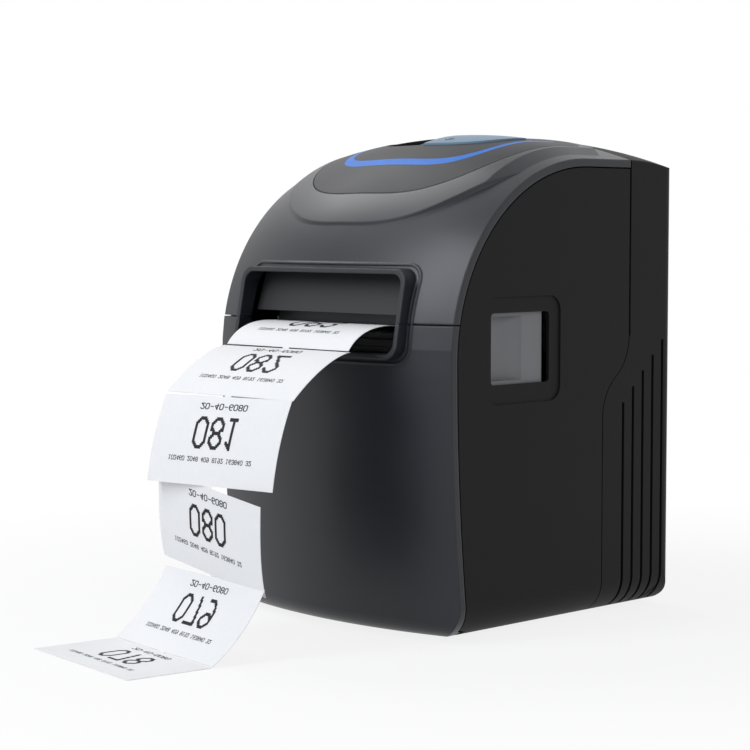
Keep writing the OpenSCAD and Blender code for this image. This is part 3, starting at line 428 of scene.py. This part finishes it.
NODE_FINISH: dict[Finish, tuple[str, ...]] = {
    Finish.SHELL: ("hood", "front_panel"),
    Finish.SIDE: ("side_panel_right", "side_panel_left", "rear_cover"),
    Finish.PANEL: ("control_panel",),
    Finish.WINDOW: ("status_window",),
    Finish.KEY: ("feed_key",),
    Finish.LEVER: ("release_lever",),
    Finish.EXIT: ("exit_plate",),
    Finish.BAND: ("light_band",),
    Finish.INNER: ("base_tray", "exit_guide", "dc_inlet", "drawer_port", "switch_body",
                   "lever_guide", "paper_sensor", "power_rocker"),
    Finish.BUCKET: ("paper_bucket", "hinge_arms", "head_carrier"),
    Finish.ACETAL: ("platen_bushes", "platen_gear", "idler_gear", "latch_shaft"),
    Finish.CERAMIC: ("print_head",),
    Finish.RUBBER: ("rubber_feet", "platen_roller"),
    Finish.BOARD: ("main_board", "panel_board"),
    Finish.CARD: ("paper_core",),
    Finish.STEEL: ("case_screws", "frame_left", "frame_right", "idler_post", "usb_port",
                   "lan_port", "hinge_brackets", "lever_spring", "head_springs", "platen_shaft",
                   "cutter_shaft"),
    Finish.BLADE: ("fixed_blade", "cutter_blade", "cutter_beam"),
    Finish.DARK_STEEL: ("feed_motor", "cutter_motor"),
    Finish.ALUMINIUM: ("heat_sink",),
    Finish.BRASS: ("motor_pinion",),
    Finish.ROLL: ("paper_roll",),
    Finish.PAPER: ("ticket_strip",),
}


def dress(obj: bpy.types.Object, finish: Finish) -> None:
    """Puts a finish on an object's own material slots.

    Args:
        obj: Object to dress.
        finish: Its finish.
    """
    if not obj.material_slots:
        obj.data.materials.append(finish.material())
    for slot in obj.material_slots:
        slot.link = "OBJECT"
        slot.material = finish.material()


def evaluated_mesh(obj: bpy.types.Object) -> bpy.types.Mesh:
    """Plain mesh of an object with its modifiers."""
    graph = bpy.context.evaluated_depsgraph_get()
    return bpy.data.meshes.new_from_object(obj.evaluated_get(graph))


def new_object(name: str, mesh: bpy.types.Mesh, body: Body, finish: Finish) -> bpy.types.Object:
    """Links a mesh as a piece that rides on a body.

    Args:
        name: Name of the piece.
        mesh: Its mesh, in the shared frame.
        body: Body that carries it.
        finish: Its finish.

    Returns:
        The new object.
    """
    obj = bpy.data.objects.new(name, mesh)
    bpy.context.scene.collection.objects.link(obj)
    dress(obj, finish)
    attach(obj, body.value)
    log.info("made %s on %s", name, body.value)
    return obj


class Shape(Enum):
    """Small shapes that a stamp tree repeats."""

    DOT = "GeometryNodeMeshGrid"
    BAR = "GeometryNodeMeshCube"


@dataclass(frozen=True)
class Spot:
    """One place for a stamp: its point in metres, its X and its Y direction."""

    point: Vector
    side: Vector
    along: Vector

    def turn(self) -> Euler:
        """Turn from the frame's axes to the spot's own."""
        rows = Matrix((self.side, self.along, self.side.cross(self.along)))
        return rows.transposed().to_euler()


@dataclass
class StampTree:
    """Geometry Nodes that set a small shape on each point, turned by the point's attribute."""

    shape: Shape
    finish: Finish

    def build(self) -> bpy.types.NodeTree:
        """Lays out the tree, with the stamp's sizes as named inputs.

        Returns:
            The new tree.
        """
        title = f"stamp_{self.shape.name.lower()}_{self.finish.name.lower()}"
        tree = bpy.data.node_groups.new(title, "GeometryNodeTree")
        face = tree.interface
        face.new_socket("Geometry", in_out="INPUT", socket_type="NodeSocketGeometry")
        for name in SIZE_INPUTS:
            face.new_socket(name, in_out="INPUT", socket_type="NodeSocketFloat")
        face.new_socket("Geometry", in_out="OUTPUT", socket_type="NodeSocketGeometry")
        add, link = tree.nodes.new, tree.links.new
        inlet, outlet = add("NodeGroupInput"), add("NodeGroupOutput")
        stamp = add(self.shape.value)
        if self.shape is Shape.DOT:
            for axis, name in zip("XY", SIZE_INPUTS):
                stamp.inputs[f"Vertices {axis}"].default_value = 2
                link(inlet.outputs[name], stamp.inputs[f"Size {axis}"])
        else:
            size = add("ShaderNodeCombineXYZ")
            for axis, name in zip("XYZ", SIZE_INPUTS):
                link(inlet.outputs[name], size.inputs[axis])
            link(size.outputs[0], stamp.inputs["Size"])
        turn = add("GeometryNodeInputNamedAttribute")
        turn.data_type = "FLOAT_VECTOR"
        turn.inputs["Name"].default_value = "turn"
        rotation = add("FunctionNodeEulerToRotation")
        link(turn.outputs["Attribute"], rotation.inputs[0])
        place = add("GeometryNodeInstanceOnPoints")
        link(inlet.outputs["Geometry"], place.inputs["Points"])
        link(stamp.outputs["Mesh"], place.inputs["Instance"])
        link(rotation.outputs[0], place.inputs["Rotation"])
        real = add("GeometryNodeRealizeInstances")
        link(place.outputs[0], real.inputs[0])
        colour = add("GeometryNodeSetMaterial")
        colour.inputs["Material"].default_value = self.finish.material()
        link(real.outputs[0], colour.inputs["Geometry"])
        link(colour.outputs[0], outlet.inputs[0])
        return tree

    def make(self, name: str, spots: Sequence[Spot], size: Size, body: Body) -> bpy.types.Object:
        """Stamps the shape on every spot and keeps the result as one plain mesh.

        Args:
            name: Name of the piece.
            spots: Where the shape goes.
            size: Its width, length and height.
            body: Body that carries the piece.

        Returns:
            The finished piece.
        """
        points = bpy.data.meshes.new(f"{name}_points")
        points.from_pydata([spot.point for spot in spots], [], [])
        turns = points.attributes.new("turn", "FLOAT_VECTOR", "POINT")
        for item, spot in zip(turns.data, spots):
            item.vector = spot.turn()
        carrier = bpy.data.objects.new(f"{name}_carrier", points)
        bpy.context.scene.collection.objects.link(carrier)
        tree = self.build()
        modifier = carrier.modifiers.new("stamp", "NODES")
        modifier.node_group = tree
        sockets = {item.name: item.identifier for item in tree.interface.items_tree
                   if item.in_out == "INPUT"}
        for key, value in zip(SIZE_INPUTS, size):
            modifier[sockets[key]] = value * MM
        bpy.context.view_layer.update()
        mesh = evaluated_mesh(carrier)
        bpy.data.objects.remove(carrier)
        return new_object(name, mesh, body, self.finish)


@dataclass(frozen=True)
class TicketRun:
    """One ticket's lie.

    Its right side turns forwards and leans up, and its pitch goes from the start's to the end's
    by a power of the way.
    """

    turn: float
    lean: float
    pitch_start: float
    pitch_end: float
    power: float = 1.0

    def across(self) -> Vector:
        """Unit vector from the left to the right edge.

        Returns:
            The direction.
        """
        turn, lean = math.radians(self.turn), math.radians(self.lean)
        level = math.cos(lean)
        return Vector((math.cos(turn) * level, -math.sin(turn) * level, math.sin(lean)))

    def heading(self, share: float) -> Vector:
        """Unit vector along the paper.

        Args:
            share: Place along the ticket, from 0 to 1.

        Returns:
            The direction in which the paper runs there.
        """
        side = self.across()
        turn = math.radians(self.turn)
        ahead = Vector((-math.sin(turn), -math.cos(turn), 0.0))
        ahead = (ahead - side * ahead.dot(side)).normalized()
        down = ahead.cross(side)
        if down.z > 0:
            down = -down
        bend = (self.pitch_end - self.pitch_start) * share ** self.power
        pitch = math.radians(self.pitch_start + bend)
        return ahead * math.cos(pitch) + down * math.sin(pitch)


@dataclass
class TicketStrip:
    """The strip: the web from the roll and six tickets, cut but for a nib between them."""

    width: float = 79.5
    ticket: float = 39.5
    nib_width: float = 4.0
    nib: float = 0.7
    cut_gap: float = 0.9
    cut_y: float = -65.1
    thickness: float = 0.2
    print_lift: float = 0.04
    roll_clearance: float = 0.6
    guide_y: float = -35.0
    guide_rise: float = 0.2
    guide_run: float = 2.5
    guided_length: float = 30.0
    path_z: float = 136.575
    floor_z: float = 0.6
    landing_turn: float = 8.0
    landing_bend: float = 15.0
    steps: int = 40
    columns: int = 6
    smooth_angle: float = 30.0
    hanging: tuple[TicketRun, ...] = (
        TicketRun(turn=0, lean=0, pitch_start=-6, pitch_end=55, power=2),
        TicketRun(turn=-2, lean=0, pitch_start=0, pitch_end=42, power=0.45),
        TicketRun(turn=-2, lean=1, pitch_start=63, pitch_end=81),
        TicketRun(turn=7, lean=-6, pitch_start=93, pitch_end=107, power=2),
    )
    runs: list[TicketRun] = field(default_factory=list)
    lines: list[list[Vector]] = field(default_factory=list)

    def walk(self, run: TicketRun, start: Vector) -> list[Vector]:
        """Middle line of one ticket.

        Args:
            run: The ticket's lie.
            start: Its upper end.

        Returns:
            Points from its upper to its lower end.
        """
        points = [start]
        for i in range(self.steps):
            heading = run.heading((i + 0.5) / self.steps)
            points.append(points[-1] + heading * (self.ticket / self.steps))
        return points

    def add_run(self, run: TicketRun, start: Vector) -> Vector:
        """Adds one ticket.

        Args:
            run: The ticket's lie.
            start: Its upper end.

        Returns:
            The upper end of the next ticket.
        """
        self.runs.append(run)
        self.lines.append(self.walk(run, start))
        return self.lines[-1][-1] + run.heading(1.0) * self.nib

    def lay(self) -> None:
        """Lays the hanging tickets, then the two that reach the counter."""
        start = Vector((0.0, self.cut_y - self.cut_gap, self.path_z))
        for run in self.hanging:
            start = self.add_run(run, start)
        bend = math.radians(self.landing_bend)
        reach = self.ticket * math.sin(bend) / bend
        mean = math.degrees(math.asin((start.z - self.floor_z) / reach))
        landing = TicketRun(self.landing_turn, 0, mean + self.landing_bend,
                            mean - self.landing_bend)
        for run in (landing, TicketRun(self.landing_turn, 0, 0, 0)):
            start = self.add_run(run, start)

    def web(self) -> list[Vector]:
        """Path of the paper inside, from the roll over the guide to the cutter.

        Returns:
            Its points.
        """
        low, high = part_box("paper_roll")
        middle = (low + high) / (2 * MM)
        radius = (high.z - low.z) / (2 * MM) + self.roll_clearance
        guide = Vector((0.0, self.guide_y, self.path_z + self.guide_rise))
        reach = Vector((guide.y - middle.y, guide.z - middle.z))
        angle = math.atan2(reach.y, reach.x) - math.acos(radius / reach.length)
        leave = Vector((0.0, middle.y + radius * math.cos(angle),
                        middle.z + radius * math.sin(angle)))
        level = (self.guide_y - self.guide_run, self.cut_y + self.cut_gap)
        return [leave, guide, *(Vector((0.0, y, self.path_z)) for y in level)]

    def band(self, mesh: bmesh.types.BMesh, rows: Sequence[tuple[Vector, Vector]],
             width: float) -> None:
        """Adds one open band of paper.

        Args:
            mesh: Mesh to add to.
            rows: Middle point and direction across.
            width: Width of the band.
        """
        shares = [c / self.columns - 0.5 for c in range(self.columns + 1)]
        last: list[bmesh.types.BMVert] = []
        for point, side in rows:
            row = [mesh.verts.new((point + side * width * share) * MM) for share in shares]
            for c in range(self.columns if last else 0):
                mesh.faces.new((last[c], row[c], row[c + 1], last[c + 1]))
            last = row

    def thicken(self, sheet: bpy.types.Object) -> None:
        """Gives the paper its thickness and its smooth bends.

        Args:
            sheet: The paper, as open bands.
        """
        solid = sheet.modifiers.new("thickness", "SOLIDIFY")
        solid.thickness = self.thickness * MM
        solid.offset = 0.0
        sheet.data = evaluated_mesh(sheet)
        sheet.modifiers.clear()
        for face in sheet.data.polygons:
            face.use_smooth = True
        sheet.data.set_sharp_from_angle(angle=math.radians(self.smooth_angle))

    def paper(self) -> None:
        """Makes the whole strip as one sheet with the paper's thickness."""
        mesh = bmesh.new()
        web = self.web()
        self.band(mesh, [(point, X_AXIS) for point in web], self.width)
        previous, side = web[-1], X_AXIS
        for run, line in zip(self.runs, self.lines):
            self.band(mesh, [(previous, side), (line[0], run.across())], self.nib_width)
            self.band(mesh, [(point, run.across()) for point in line], self.width)
            previous, side = line[-1], run.across()
        data = bpy.data.meshes.new("ticket_paper")
        mesh.to_mesh(data)
        mesh.free()
        sheet = bpy.data.objects.new("ticket_paper", data)
        bpy.context.scene.collection.objects.link(sheet)
        self.thicken(sheet)
        dress(sheet, Finish.PAPER)
        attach(sheet, Body.BASE.value)
        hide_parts("ticket_strip")

    def spot(self, index: int, u: float, v: float) -> Spot:
        """A place on a ticket's face.

        Args:
            index: Which ticket, from the slot down.
            u: Distance right of its middle.
            v: Distance below its upper end.

        Returns:
            The place, with its X across and its Y along the paper.
        """
        run, line = self.runs[index], self.lines[index]
        place = min(max(v / self.ticket, 0.0), 1.0) * self.steps
        low = min(int(place), self.steps - 1)
        across, heading = run.across(), run.heading(place / self.steps)
        lift = heading.cross(across) * (self.thickness / 2 + self.print_lift)
        point = line[low].lerp(line[low + 1], place - low) + across * u + lift
        return Spot(point * MM, across, -heading)


Stroke = tuple[tuple[int, int], ...]
STROKE_ROWS = 12
STROKES: dict[str, tuple[Stroke, ...]] = {
    "0": (((2, 0), (5, 0), (7, 2), (7, 10), (5, 12), (2, 12), (0, 10), (0, 2), (2, 0)),),
    "1": (((1, 2), (3, 0), (3, 12)), ((1, 12), (5, 12))),
    "2": (((0, 2), (2, 0), (5, 0), (7, 2), (7, 4), (0, 12), (7, 12)),),
    "3": (((0, 2), (2, 0), (5, 0), (7, 2), (7, 4), (5, 6), (3, 6)),
          ((5, 6), (7, 8), (7, 10), (5, 12), (2, 12), (0, 10))),
    "4": (((5, 12), (5, 0), (0, 8), (7, 8)),),
    "5": (((7, 0), (0, 0), (0, 5), (5, 5), (7, 7), (7, 10), (5, 12), (2, 12), (0, 10)),),
    "6": (((6, 0), (3, 0), (0, 4), (0, 10), (2, 12), (5, 12), (7, 10), (7, 8), (5, 6), (2, 6),
           (0, 8)),),
    "7": (((0, 0), (7, 0), (3, 12)),),
    "8": (((2, 0), (5, 0), (7, 2), (7, 4), (5, 6), (2, 6), (0, 4), (0, 2), (2, 0)),
          ((5, 6), (7, 8), (7, 10), (5, 12), (2, 12), (0, 10), (0, 8), (2, 6))),
    "9": (((1, 12), (4, 12), (7, 8), (7, 2), (5, 0), (2, 0), (0, 2), (0, 4), (2, 6), (5, 6),
           (7, 4)),),
    "-": (((1, 6), (6, 6)),),
    " ": (),
}


@dataclass(frozen=True)
class Lettering:
    """A size of dotted digits: the strokes' stretch, the pen and the pitch in dots, the dot."""

    stretch: float
    pen: int
    pitch: int
    dot: tuple[float, float]

    def rows(self) -> int:
        """Height of a digit in dots."""
        return round(STROKE_ROWS * self.stretch) + self.pen

    def path(self, stroke: Stroke) -> list[tuple[int, int]]:
        """Dots that the pen's corner passes on one stroke.

        Args:
            stroke: Corners of the stroke.

        Returns:
            Columns and rows, with repeats.
        """
        dots = []
        for (x0, y0), (x1, y1) in zip(stroke, stroke[1:]):
            count = max(1, round(max(abs(x1 - x0), abs(y1 - y0)) * self.stretch))
            for i in range(count + 1):
                dots.append((round((x0 + (x1 - x0) * i / count) * self.stretch),
                             round((y0 + (y1 - y0) * i / count) * self.stretch)))
        return dots

    def cells(self, text: str) -> list[tuple[int, int]]:
        """Dots that a row of digits fills.

        Args:
            text: Digits, dashes and spaces.

        Returns:
            Columns from the left and rows from the top, in order.
        """
        pen = [(a, b) for a in range(self.pen) for b in range(self.pen)]
        filled: set[tuple[int, int]] = set()
        for place, letter in enumerate(text):
            left = place * self.pitch
            for stroke in STROKES[letter]:
                for x, y in self.path(stroke):
                    filled.update((left + x + a, y + b) for a, b in pen)
        return sorted(filled)


@dataclass
class TicketPrint:
    """Thermal print as square dots: a small line, a large number and a second small line."""

    strip: TicketStrip
    number: Lettering = Lettering(stretch=1.3, pen=2, pitch=13, dot=(0.77, 0.80))
    top: Lettering = Lettering(stretch=1.0, pen=2, pitch=10, dot=(0.30, 0.21))
    foot: Lettering = Lettering(stretch=1.0, pen=2, pitch=10, dot=(0.176, 0.155))
    number_v: float = 16.6
    top_v: float = 4.7
    foot_v: float = 28.4
    foot_shift: float = -1.5
    first_number: int = 83
    top_text: str = "20-40-6080"
    foot_text: str = "102460 2048 409 8192 163840 32"
    overlap: float = 1.04

    def line(self, index: int, text: str, size: Lettering, v: float,
             shift: float = 0.0) -> list[Spot]:
        """Spots of one line, turned over as the tickets come out.

        Args:
            index: Which ticket.
            text: What the line holds.
            size: Its lettering.
            v: Its middle below the ticket's upper end.
            shift: Distance of its middle right of the ticket's middle.

        Returns:
            A spot for each dot.
        """
        wide, high = size.dot
        left = shift - (len(text) * size.pitch - 1) * wide / 2
        foot = v - size.rows() * high / 2
        return [self.strip.spot(index, left + (column + 0.5) * wide,
                                foot + (size.rows() - row - 0.5) * high)
                for column, row in size.cells(text)]

    def make(self) -> None:
        """Makes the numbers and the small lines, one piece for each size of dot."""
        numbers, tops, feet = [], [], []
        for index in range(len(self.strip.runs)):
            number = f"{self.first_number - index:03d}"
            numbers += self.line(index, number, self.number, self.number_v)
            tops += self.line(index, self.top_text, self.top, self.top_v)
            feet += self.line(index, self.foot_text, self.foot, self.foot_v, self.foot_shift)
        tree = StampTree(Shape.DOT, Finish.INK)
        for name, spots, lettering in (("ticket_numbers", numbers, self.number),
                                       ("ticket_top_lines", tops, self.top),
                                       ("ticket_foot_lines", feet, self.foot)):
            wide, high = lettering.dot
            tree.make(name, spots, (wide * self.overlap, high * self.overlap, 0.0), Body.BASE)


class NodeSurface:
    """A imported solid's surface, to set small marks on."""

    def __init__(self, node: str) -> None:
        """Reads the surface of one node.

        Args:
            node: Name of the node.
        """
        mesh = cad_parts[node].data
        self.tree = BVHTree.FromPolygons([vertex.co for vertex in mesh.vertices],
                                         [face.vertices[:] for face in mesh.polygons])

    def spot(self, start: Vector, aim: Vector, side: Vector, height: float) -> Spot:
        """Place of a mark where a line meets the surface.

        Args:
            start: Start of the line, in metres.
            aim: Its direction.
            side: Direction that the mark's X should follow.
            height: Height of the mark, whose middle lies a third of it over the surface.

        Returns:
            The place, flat on the surface.
        """
        point, normal, _, _ = self.tree.ray_cast(start, aim)
        across = (side - normal * side.dot(normal)).normalized()
        return Spot(point + normal * (height / 3) * MM, across, normal.cross(across))


@dataclass
class KeyMark:
    """Generic feed mark on the key: a pointed arrow of two strokes over a bar."""

    place: tuple[float, float] = (10.5, -10.5)
    strokes: tuple[tuple[float, float, float], ...] = (
        (40, -1.1, 0.0), (-40, 1.1, 0.0), (0, 0.0, 2.6))
    above: float = 260.0
    arm: float = 3.4
    stroke: float = 0.75
    height: float = 0.10

    def make(self) -> None:
        """Makes the mark on the feed key, stroke by stroke from its turn and its shift."""
        surface = NodeSurface("feed_key")
        spots = []
        for turn, dx, dy in self.strokes:
            angle = math.radians(turn)
            start = Vector((self.place[0] + dx, self.place[1] + dy, self.above)) * MM
            side = Vector((math.cos(angle), -math.sin(angle), 0.0))
            spots.append(surface.spot(start, -Z_AXIS, side, self.height))
        tree = StampTree(Shape.BAR, Finish.DARK_PRINT_AND_SHADE)
        tree.make("feed_key_mark", spots, (self.arm, self.stroke, self.height), Body.FEED_KEY)


@dataclass
class RockerMarks:
    """One stroke on each pad of the power rocker, upright for on and level for off."""

    stroke: float = 0.6
    length: float = 3.0
    height: float = 0.10
    pad_share: float = 0.55
    behind: float = 5.0

    def make(self) -> None:
        """Makes the marks on the rocker's two pads."""
        low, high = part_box("power_rocker")
        surface = NodeSurface("power_rocker")
        middle, half = (low + high) / 2, (high - low) / 2
        spots = []
        for share, side in ((self.pad_share, Z_AXIS), (-self.pad_share, X_AXIS)):
            start = Vector((middle.x, high.y + self.behind * MM, middle.z + share * half.z))
            spots.append(surface.spot(start, -Y_AXIS, side, self.height))
        tree = StampTree(Shape.BAR, Finish.MARK)
        tree.make("rocker_marks", spots, (self.length, self.stroke, self.height), Body.ROCKER)


@dataclass(frozen=True)
class Seat:
    """A place in a socket: below the socket's top and ahead of its mouth."""

    from_top: float
    inset: float


@dataclass
class SocketContacts:
    """Sprung contacts and moulded blocks in the sockets at the back."""

    network: int = 8
    network_seat: Seat = Seat(from_top=2.3, inset=8.0)
    drawer: int = 6
    drawer_seat: Seat = Seat(from_top=3.3, inset=8.0)
    pitch: float = 1.15
    contact: Size = (0.5, 7.0, 0.3)
    tongue: Size = (5.2, 8.2, 3.0)
    tongue_seat: Seat = Seat(from_top=7.1, inset=5.6)
    insert: Size = (11.2, 2.0, 8.2)
    insert_seat: Seat = Seat(from_top=6.6, inset=12.6)
    edge: float = 0.4
    edge_steps: int = 2

    def row(self, node: str, count: int, seat: Seat) -> list[Spot]:
        """A row of places in a socket.

        Args:
            node: The socket.
            count: Number of places, a pitch apart.
            seat: Where their middles lie.

        Returns:
            A spot for each place.
        """
        low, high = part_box(node)
        first = (low.x + high.x) / 2 - self.pitch * MM * (count - 1) / 2
        y, z = high.y - seat.inset * MM, high.z - seat.from_top * MM
        return [Spot(Vector((first + i * self.pitch * MM, y, z)), X_AXIS, Y_AXIS)
                for i in range(count)]

    def block(self, name: str, node: str, seat: Seat, size: Size, finish: Finish) -> None:
        """Makes one moulded block in a socket and rounds its edges.

        Args:
            name: Name of the piece.
            node: The socket.
            seat: Where its middle lies.
            size: Its width, length and height.
            finish: Its finish.
        """
        spots = self.row(node, 1, seat)
        mesh = StampTree(Shape.BAR, finish).make(name, spots, size, Body.BASE).data
        work = bmesh.new()
        work.from_mesh(mesh)
        bmesh.ops.bevel(work, geom=work.edges[:], offset=self.edge * MM, segments=self.edge_steps,
                        affect="EDGES", profile=0.5)
        work.to_mesh(mesh)
        work.free()

    def make(self) -> None:
        """Makes the contacts, the data socket's tongue and the network socket's back."""
        spots = self.row("lan_port", self.network, self.network_seat)
        spots += self.row("drawer_port", self.drawer, self.drawer_seat)
        tree = StampTree(Shape.BAR, Finish.BRASS)
        tree.make("socket_contacts", spots, self.contact, Body.BASE)
        self.block("data_socket_tongue", "usb_port", self.tongue_seat, self.tongue,
                   Finish.ACETAL)
        self.block("network_socket_insert", "lan_port", self.insert_seat, self.insert,
                   Finish.INNER)


@dataclass
class ScrewRecessShade:
    """Painted shade for the crossed recesses in the heads of the case screws, seen from below:
    flat dark strokes stand in for the hollows.
    """

    head_radius: float = 3.0
    length: float = 3.4
    width: float = 0.7
    height: float = 0.06

    def make(self) -> None:
        """Makes two crossed strokes of painted shade on each head."""
        low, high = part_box("case_screws")
        radius = self.head_radius * MM
        z = low.z - self.height / 3 * MM
        spots = []
        for x in (low.x + radius, high.x - radius):
            for y in (low.y + radius, high.y - radius):
                for side in (X_AXIS, Y_AXIS):
                    spots.append(Spot(Vector((x, y, z)), side, side.cross(Z_AXIS)))
        # flat dark strokes: painted shade where the recesses' hollows would be
        tree = StampTree(Shape.BAR, Finish.DARK_PRINT_AND_SHADE)
        tree.make("screw_recess_painted_shade", spots, (self.length, self.width, self.height), Body.BASE)


@dataclass(frozen=True)
class SoftBox:
    """One soft lamp: its place, width and height in metres, its power in watts, its colour."""

    name: str
    place: tuple[float, float, float]
    size: tuple[float, float]
    power: float
    colour: Colour = WHITE


@dataclass
class Studio:
    """Pale floor, even surroundings, three soft lamps and the camera of the photograph."""

    camera_place: tuple[float, float, float] = (692.144, -726.757, 181.528)
    camera_turn: float = 45.540
    camera_dip: float = 4.075
    focal_px: float = 2116.5
    frame_px: float = 750.0
    sensor: float = 36.0
    far_clip_m: float = 50.0
    floor_size_m: float = 12.0
    floor_grey: float = 0.8
    floor_roughness: float = 0.7
    floor_white: float = 0.84
    shadow_reach_m: tuple[float, float] = (0.16, 0.42)
    fill: float = 0.32
    background: float = 1.0
    aim_m: tuple[float, float, float] = (0.0, 0.0, 0.12)
    boxes: tuple[SoftBox, ...] = (
        SoftBox("front_box", (-0.33, -1.16, 1.00), (0.5, 1.25), 13.0, (0.90, 0.94, 1.0)),
        SoftBox("left_box", (-0.96, 0.10, 1.26), (0.7, 0.6), 5.5),
        SoftBox("right_box", (1.3, -0.5, 0.8), (0.7, 0.7), 3.5),
    )

    def camera(self) -> None:
        """Makes the camera."""
        lens = bpy.data.cameras.new("camera")
        lens.sensor_width = self.sensor
        lens.lens = self.focal_px / self.frame_px * self.sensor
        lens.clip_end = self.far_clip_m
        obj = bpy.data.objects.new("camera", lens)
        obj.location = Vector(self.camera_place) * MM
        obj.rotation_euler = Euler((math.radians(90 - self.camera_dip), 0.0,
                                    math.radians(self.camera_turn)))
        bpy.context.scene.collection.objects.link(obj)
        bpy.context.scene.camera = obj

    def lamp(self, box: SoftBox) -> None:
        """Hangs one soft lamp, which faces the printer.

        Args:
            box: The lamp.
        """
        lamp = bpy.data.lights.new(box.name, "AREA")
        lamp.shape = "RECTANGLE"
        lamp.size, lamp.size_y = box.size
        lamp.energy = box.power
        lamp.color = box.colour
        obj = bpy.data.objects.new(box.name, lamp)
        obj.location = box.place
        gaze = Vector(self.aim_m) - Vector(box.place)
        obj.rotation_euler = gaze.to_track_quat("-Z", "Y").to_euler()
        bpy.context.scene.collection.objects.link(obj)

    def seen(self, tree: bpy.types.NodeTree) -> bpy.types.NodeSocket:
        """Adds nodes that are 1 for rays from the camera, a gloss or a clear body.

        Args:
            tree: Tree to add them to.

        Returns:
            The output that holds the value.
        """
        path = tree.nodes.new("ShaderNodeLightPath")
        value = path.outputs["Is Camera Ray"]
        for name in ("Is Glossy Ray", "Is Transmission Ray"):
            larger = tree.nodes.new("ShaderNodeMath")
            larger.operation = "MAXIMUM"
            tree.links.new(value, larger.inputs[0])
            tree.links.new(path.outputs[name], larger.inputs[1])
            value = larger.outputs[0]
        return value

    def floor_material(self) -> bpy.types.Material:
        """Makes the floor's white, which keeps a pale shadow near the printer.

        Returns:
            The material.
        """
        board = NodeBoard("white_floor")
        board.fix(Base_Color=(*shade(WHITE, self.floor_grey), 1.0), Roughness=self.floor_roughness)
        where = board.add("ShaderNodeTexCoord")
        far = board.add("ShaderNodeVectorMath", operation="LENGTH")
        board.link(where, "Object", far, 0)
        near_m, far_m = self.shadow_reach_m
        fade = board.add("ShaderNodeMapRange", From_Min=near_m, From_Max=far_m,
                         To_Min=self.floor_white, To_Max=1.0)
        board.link(far, "Value", fade, "Value")
        share = board.add("ShaderNodeMath", operation="MULTIPLY")
        board.tree.links.new(self.seen(board.tree), share.inputs[0])
        board.link(fade, "Result", share, 1)
        white = board.add("ShaderNodeEmission", Strength=self.background)
        mix = board.add("ShaderNodeMixShader")
        board.link(share, 0, mix, 0)
        board.link(board.shader, "BSDF", mix, 1)
        board.link(white, "Emission", mix, 2)
        board.link(mix, 0, board.output, "Surface")
        return board.material

    def floor(self) -> None:
        """Makes the white floor."""
        half = self.floor_size_m / 2
        corners = [(-half, -half, 0), (half, -half, 0), (half, half, 0), (-half, half, 0)]
        mesh = bpy.data.meshes.new("floor")
        mesh.from_pydata(corners, [], [(0, 1, 2, 3)])
        mesh.materials.append(self.floor_material())
        floor = bpy.data.objects.new("floor", mesh)
        bpy.context.scene.collection.objects.link(floor)

    def surroundings(self) -> None:
        """Makes the even surroundings: white where they are seen, weaker as light."""
        world = bpy.data.worlds.new("studio_world")
        world.use_nodes = True
        bpy.context.scene.world = world
        tree = world.node_tree
        tree.nodes.clear()
        output = tree.nodes.new("ShaderNodeOutputWorld")
        pick = tree.nodes.new("ShaderNodeMixShader")
        for slot, strength in ((1, self.fill), (2, self.background)):
            light = tree.nodes.new("ShaderNodeBackground")
            light.inputs["Color"].default_value = (*WHITE, 1.0)
            light.inputs["Strength"].default_value = strength
            tree.links.new(light.outputs[0], pick.inputs[slot])
        tree.links.new(self.seen(tree), pick.inputs[0])
        tree.links.new(pick.outputs[0], output.inputs["Surface"])

    def make(self) -> None:
        """Sets up the whole studio."""
        self.camera()
        for box in self.boxes:
            self.lamp(box)
        self.floor()
        self.surroundings()
        bpy.context.scene.view_settings.view_transform = "Standard"


def dress_nodes() -> None:
    """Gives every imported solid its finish."""
    for finish, names in NODE_FINISH.items():
        for name in names:
            dress(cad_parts[name], finish)
            log.info("dressed %s in %s", name, finish.value.name)


def main() -> None:
    """Builds the scene in order."""
    logging.basicConfig(level=logging.INFO, format="%(name)s: %(message)s")
    Studio().make()
    dress_nodes()
    strip = TicketStrip()
    strip.lay()
    strip.paper()
    TicketPrint(strip).make()
    KeyMark().make()
    RockerMarks().make()
    SocketContacts().make()
    ScrewRecessShade().make()


if __name__ == "__main__":
    main()
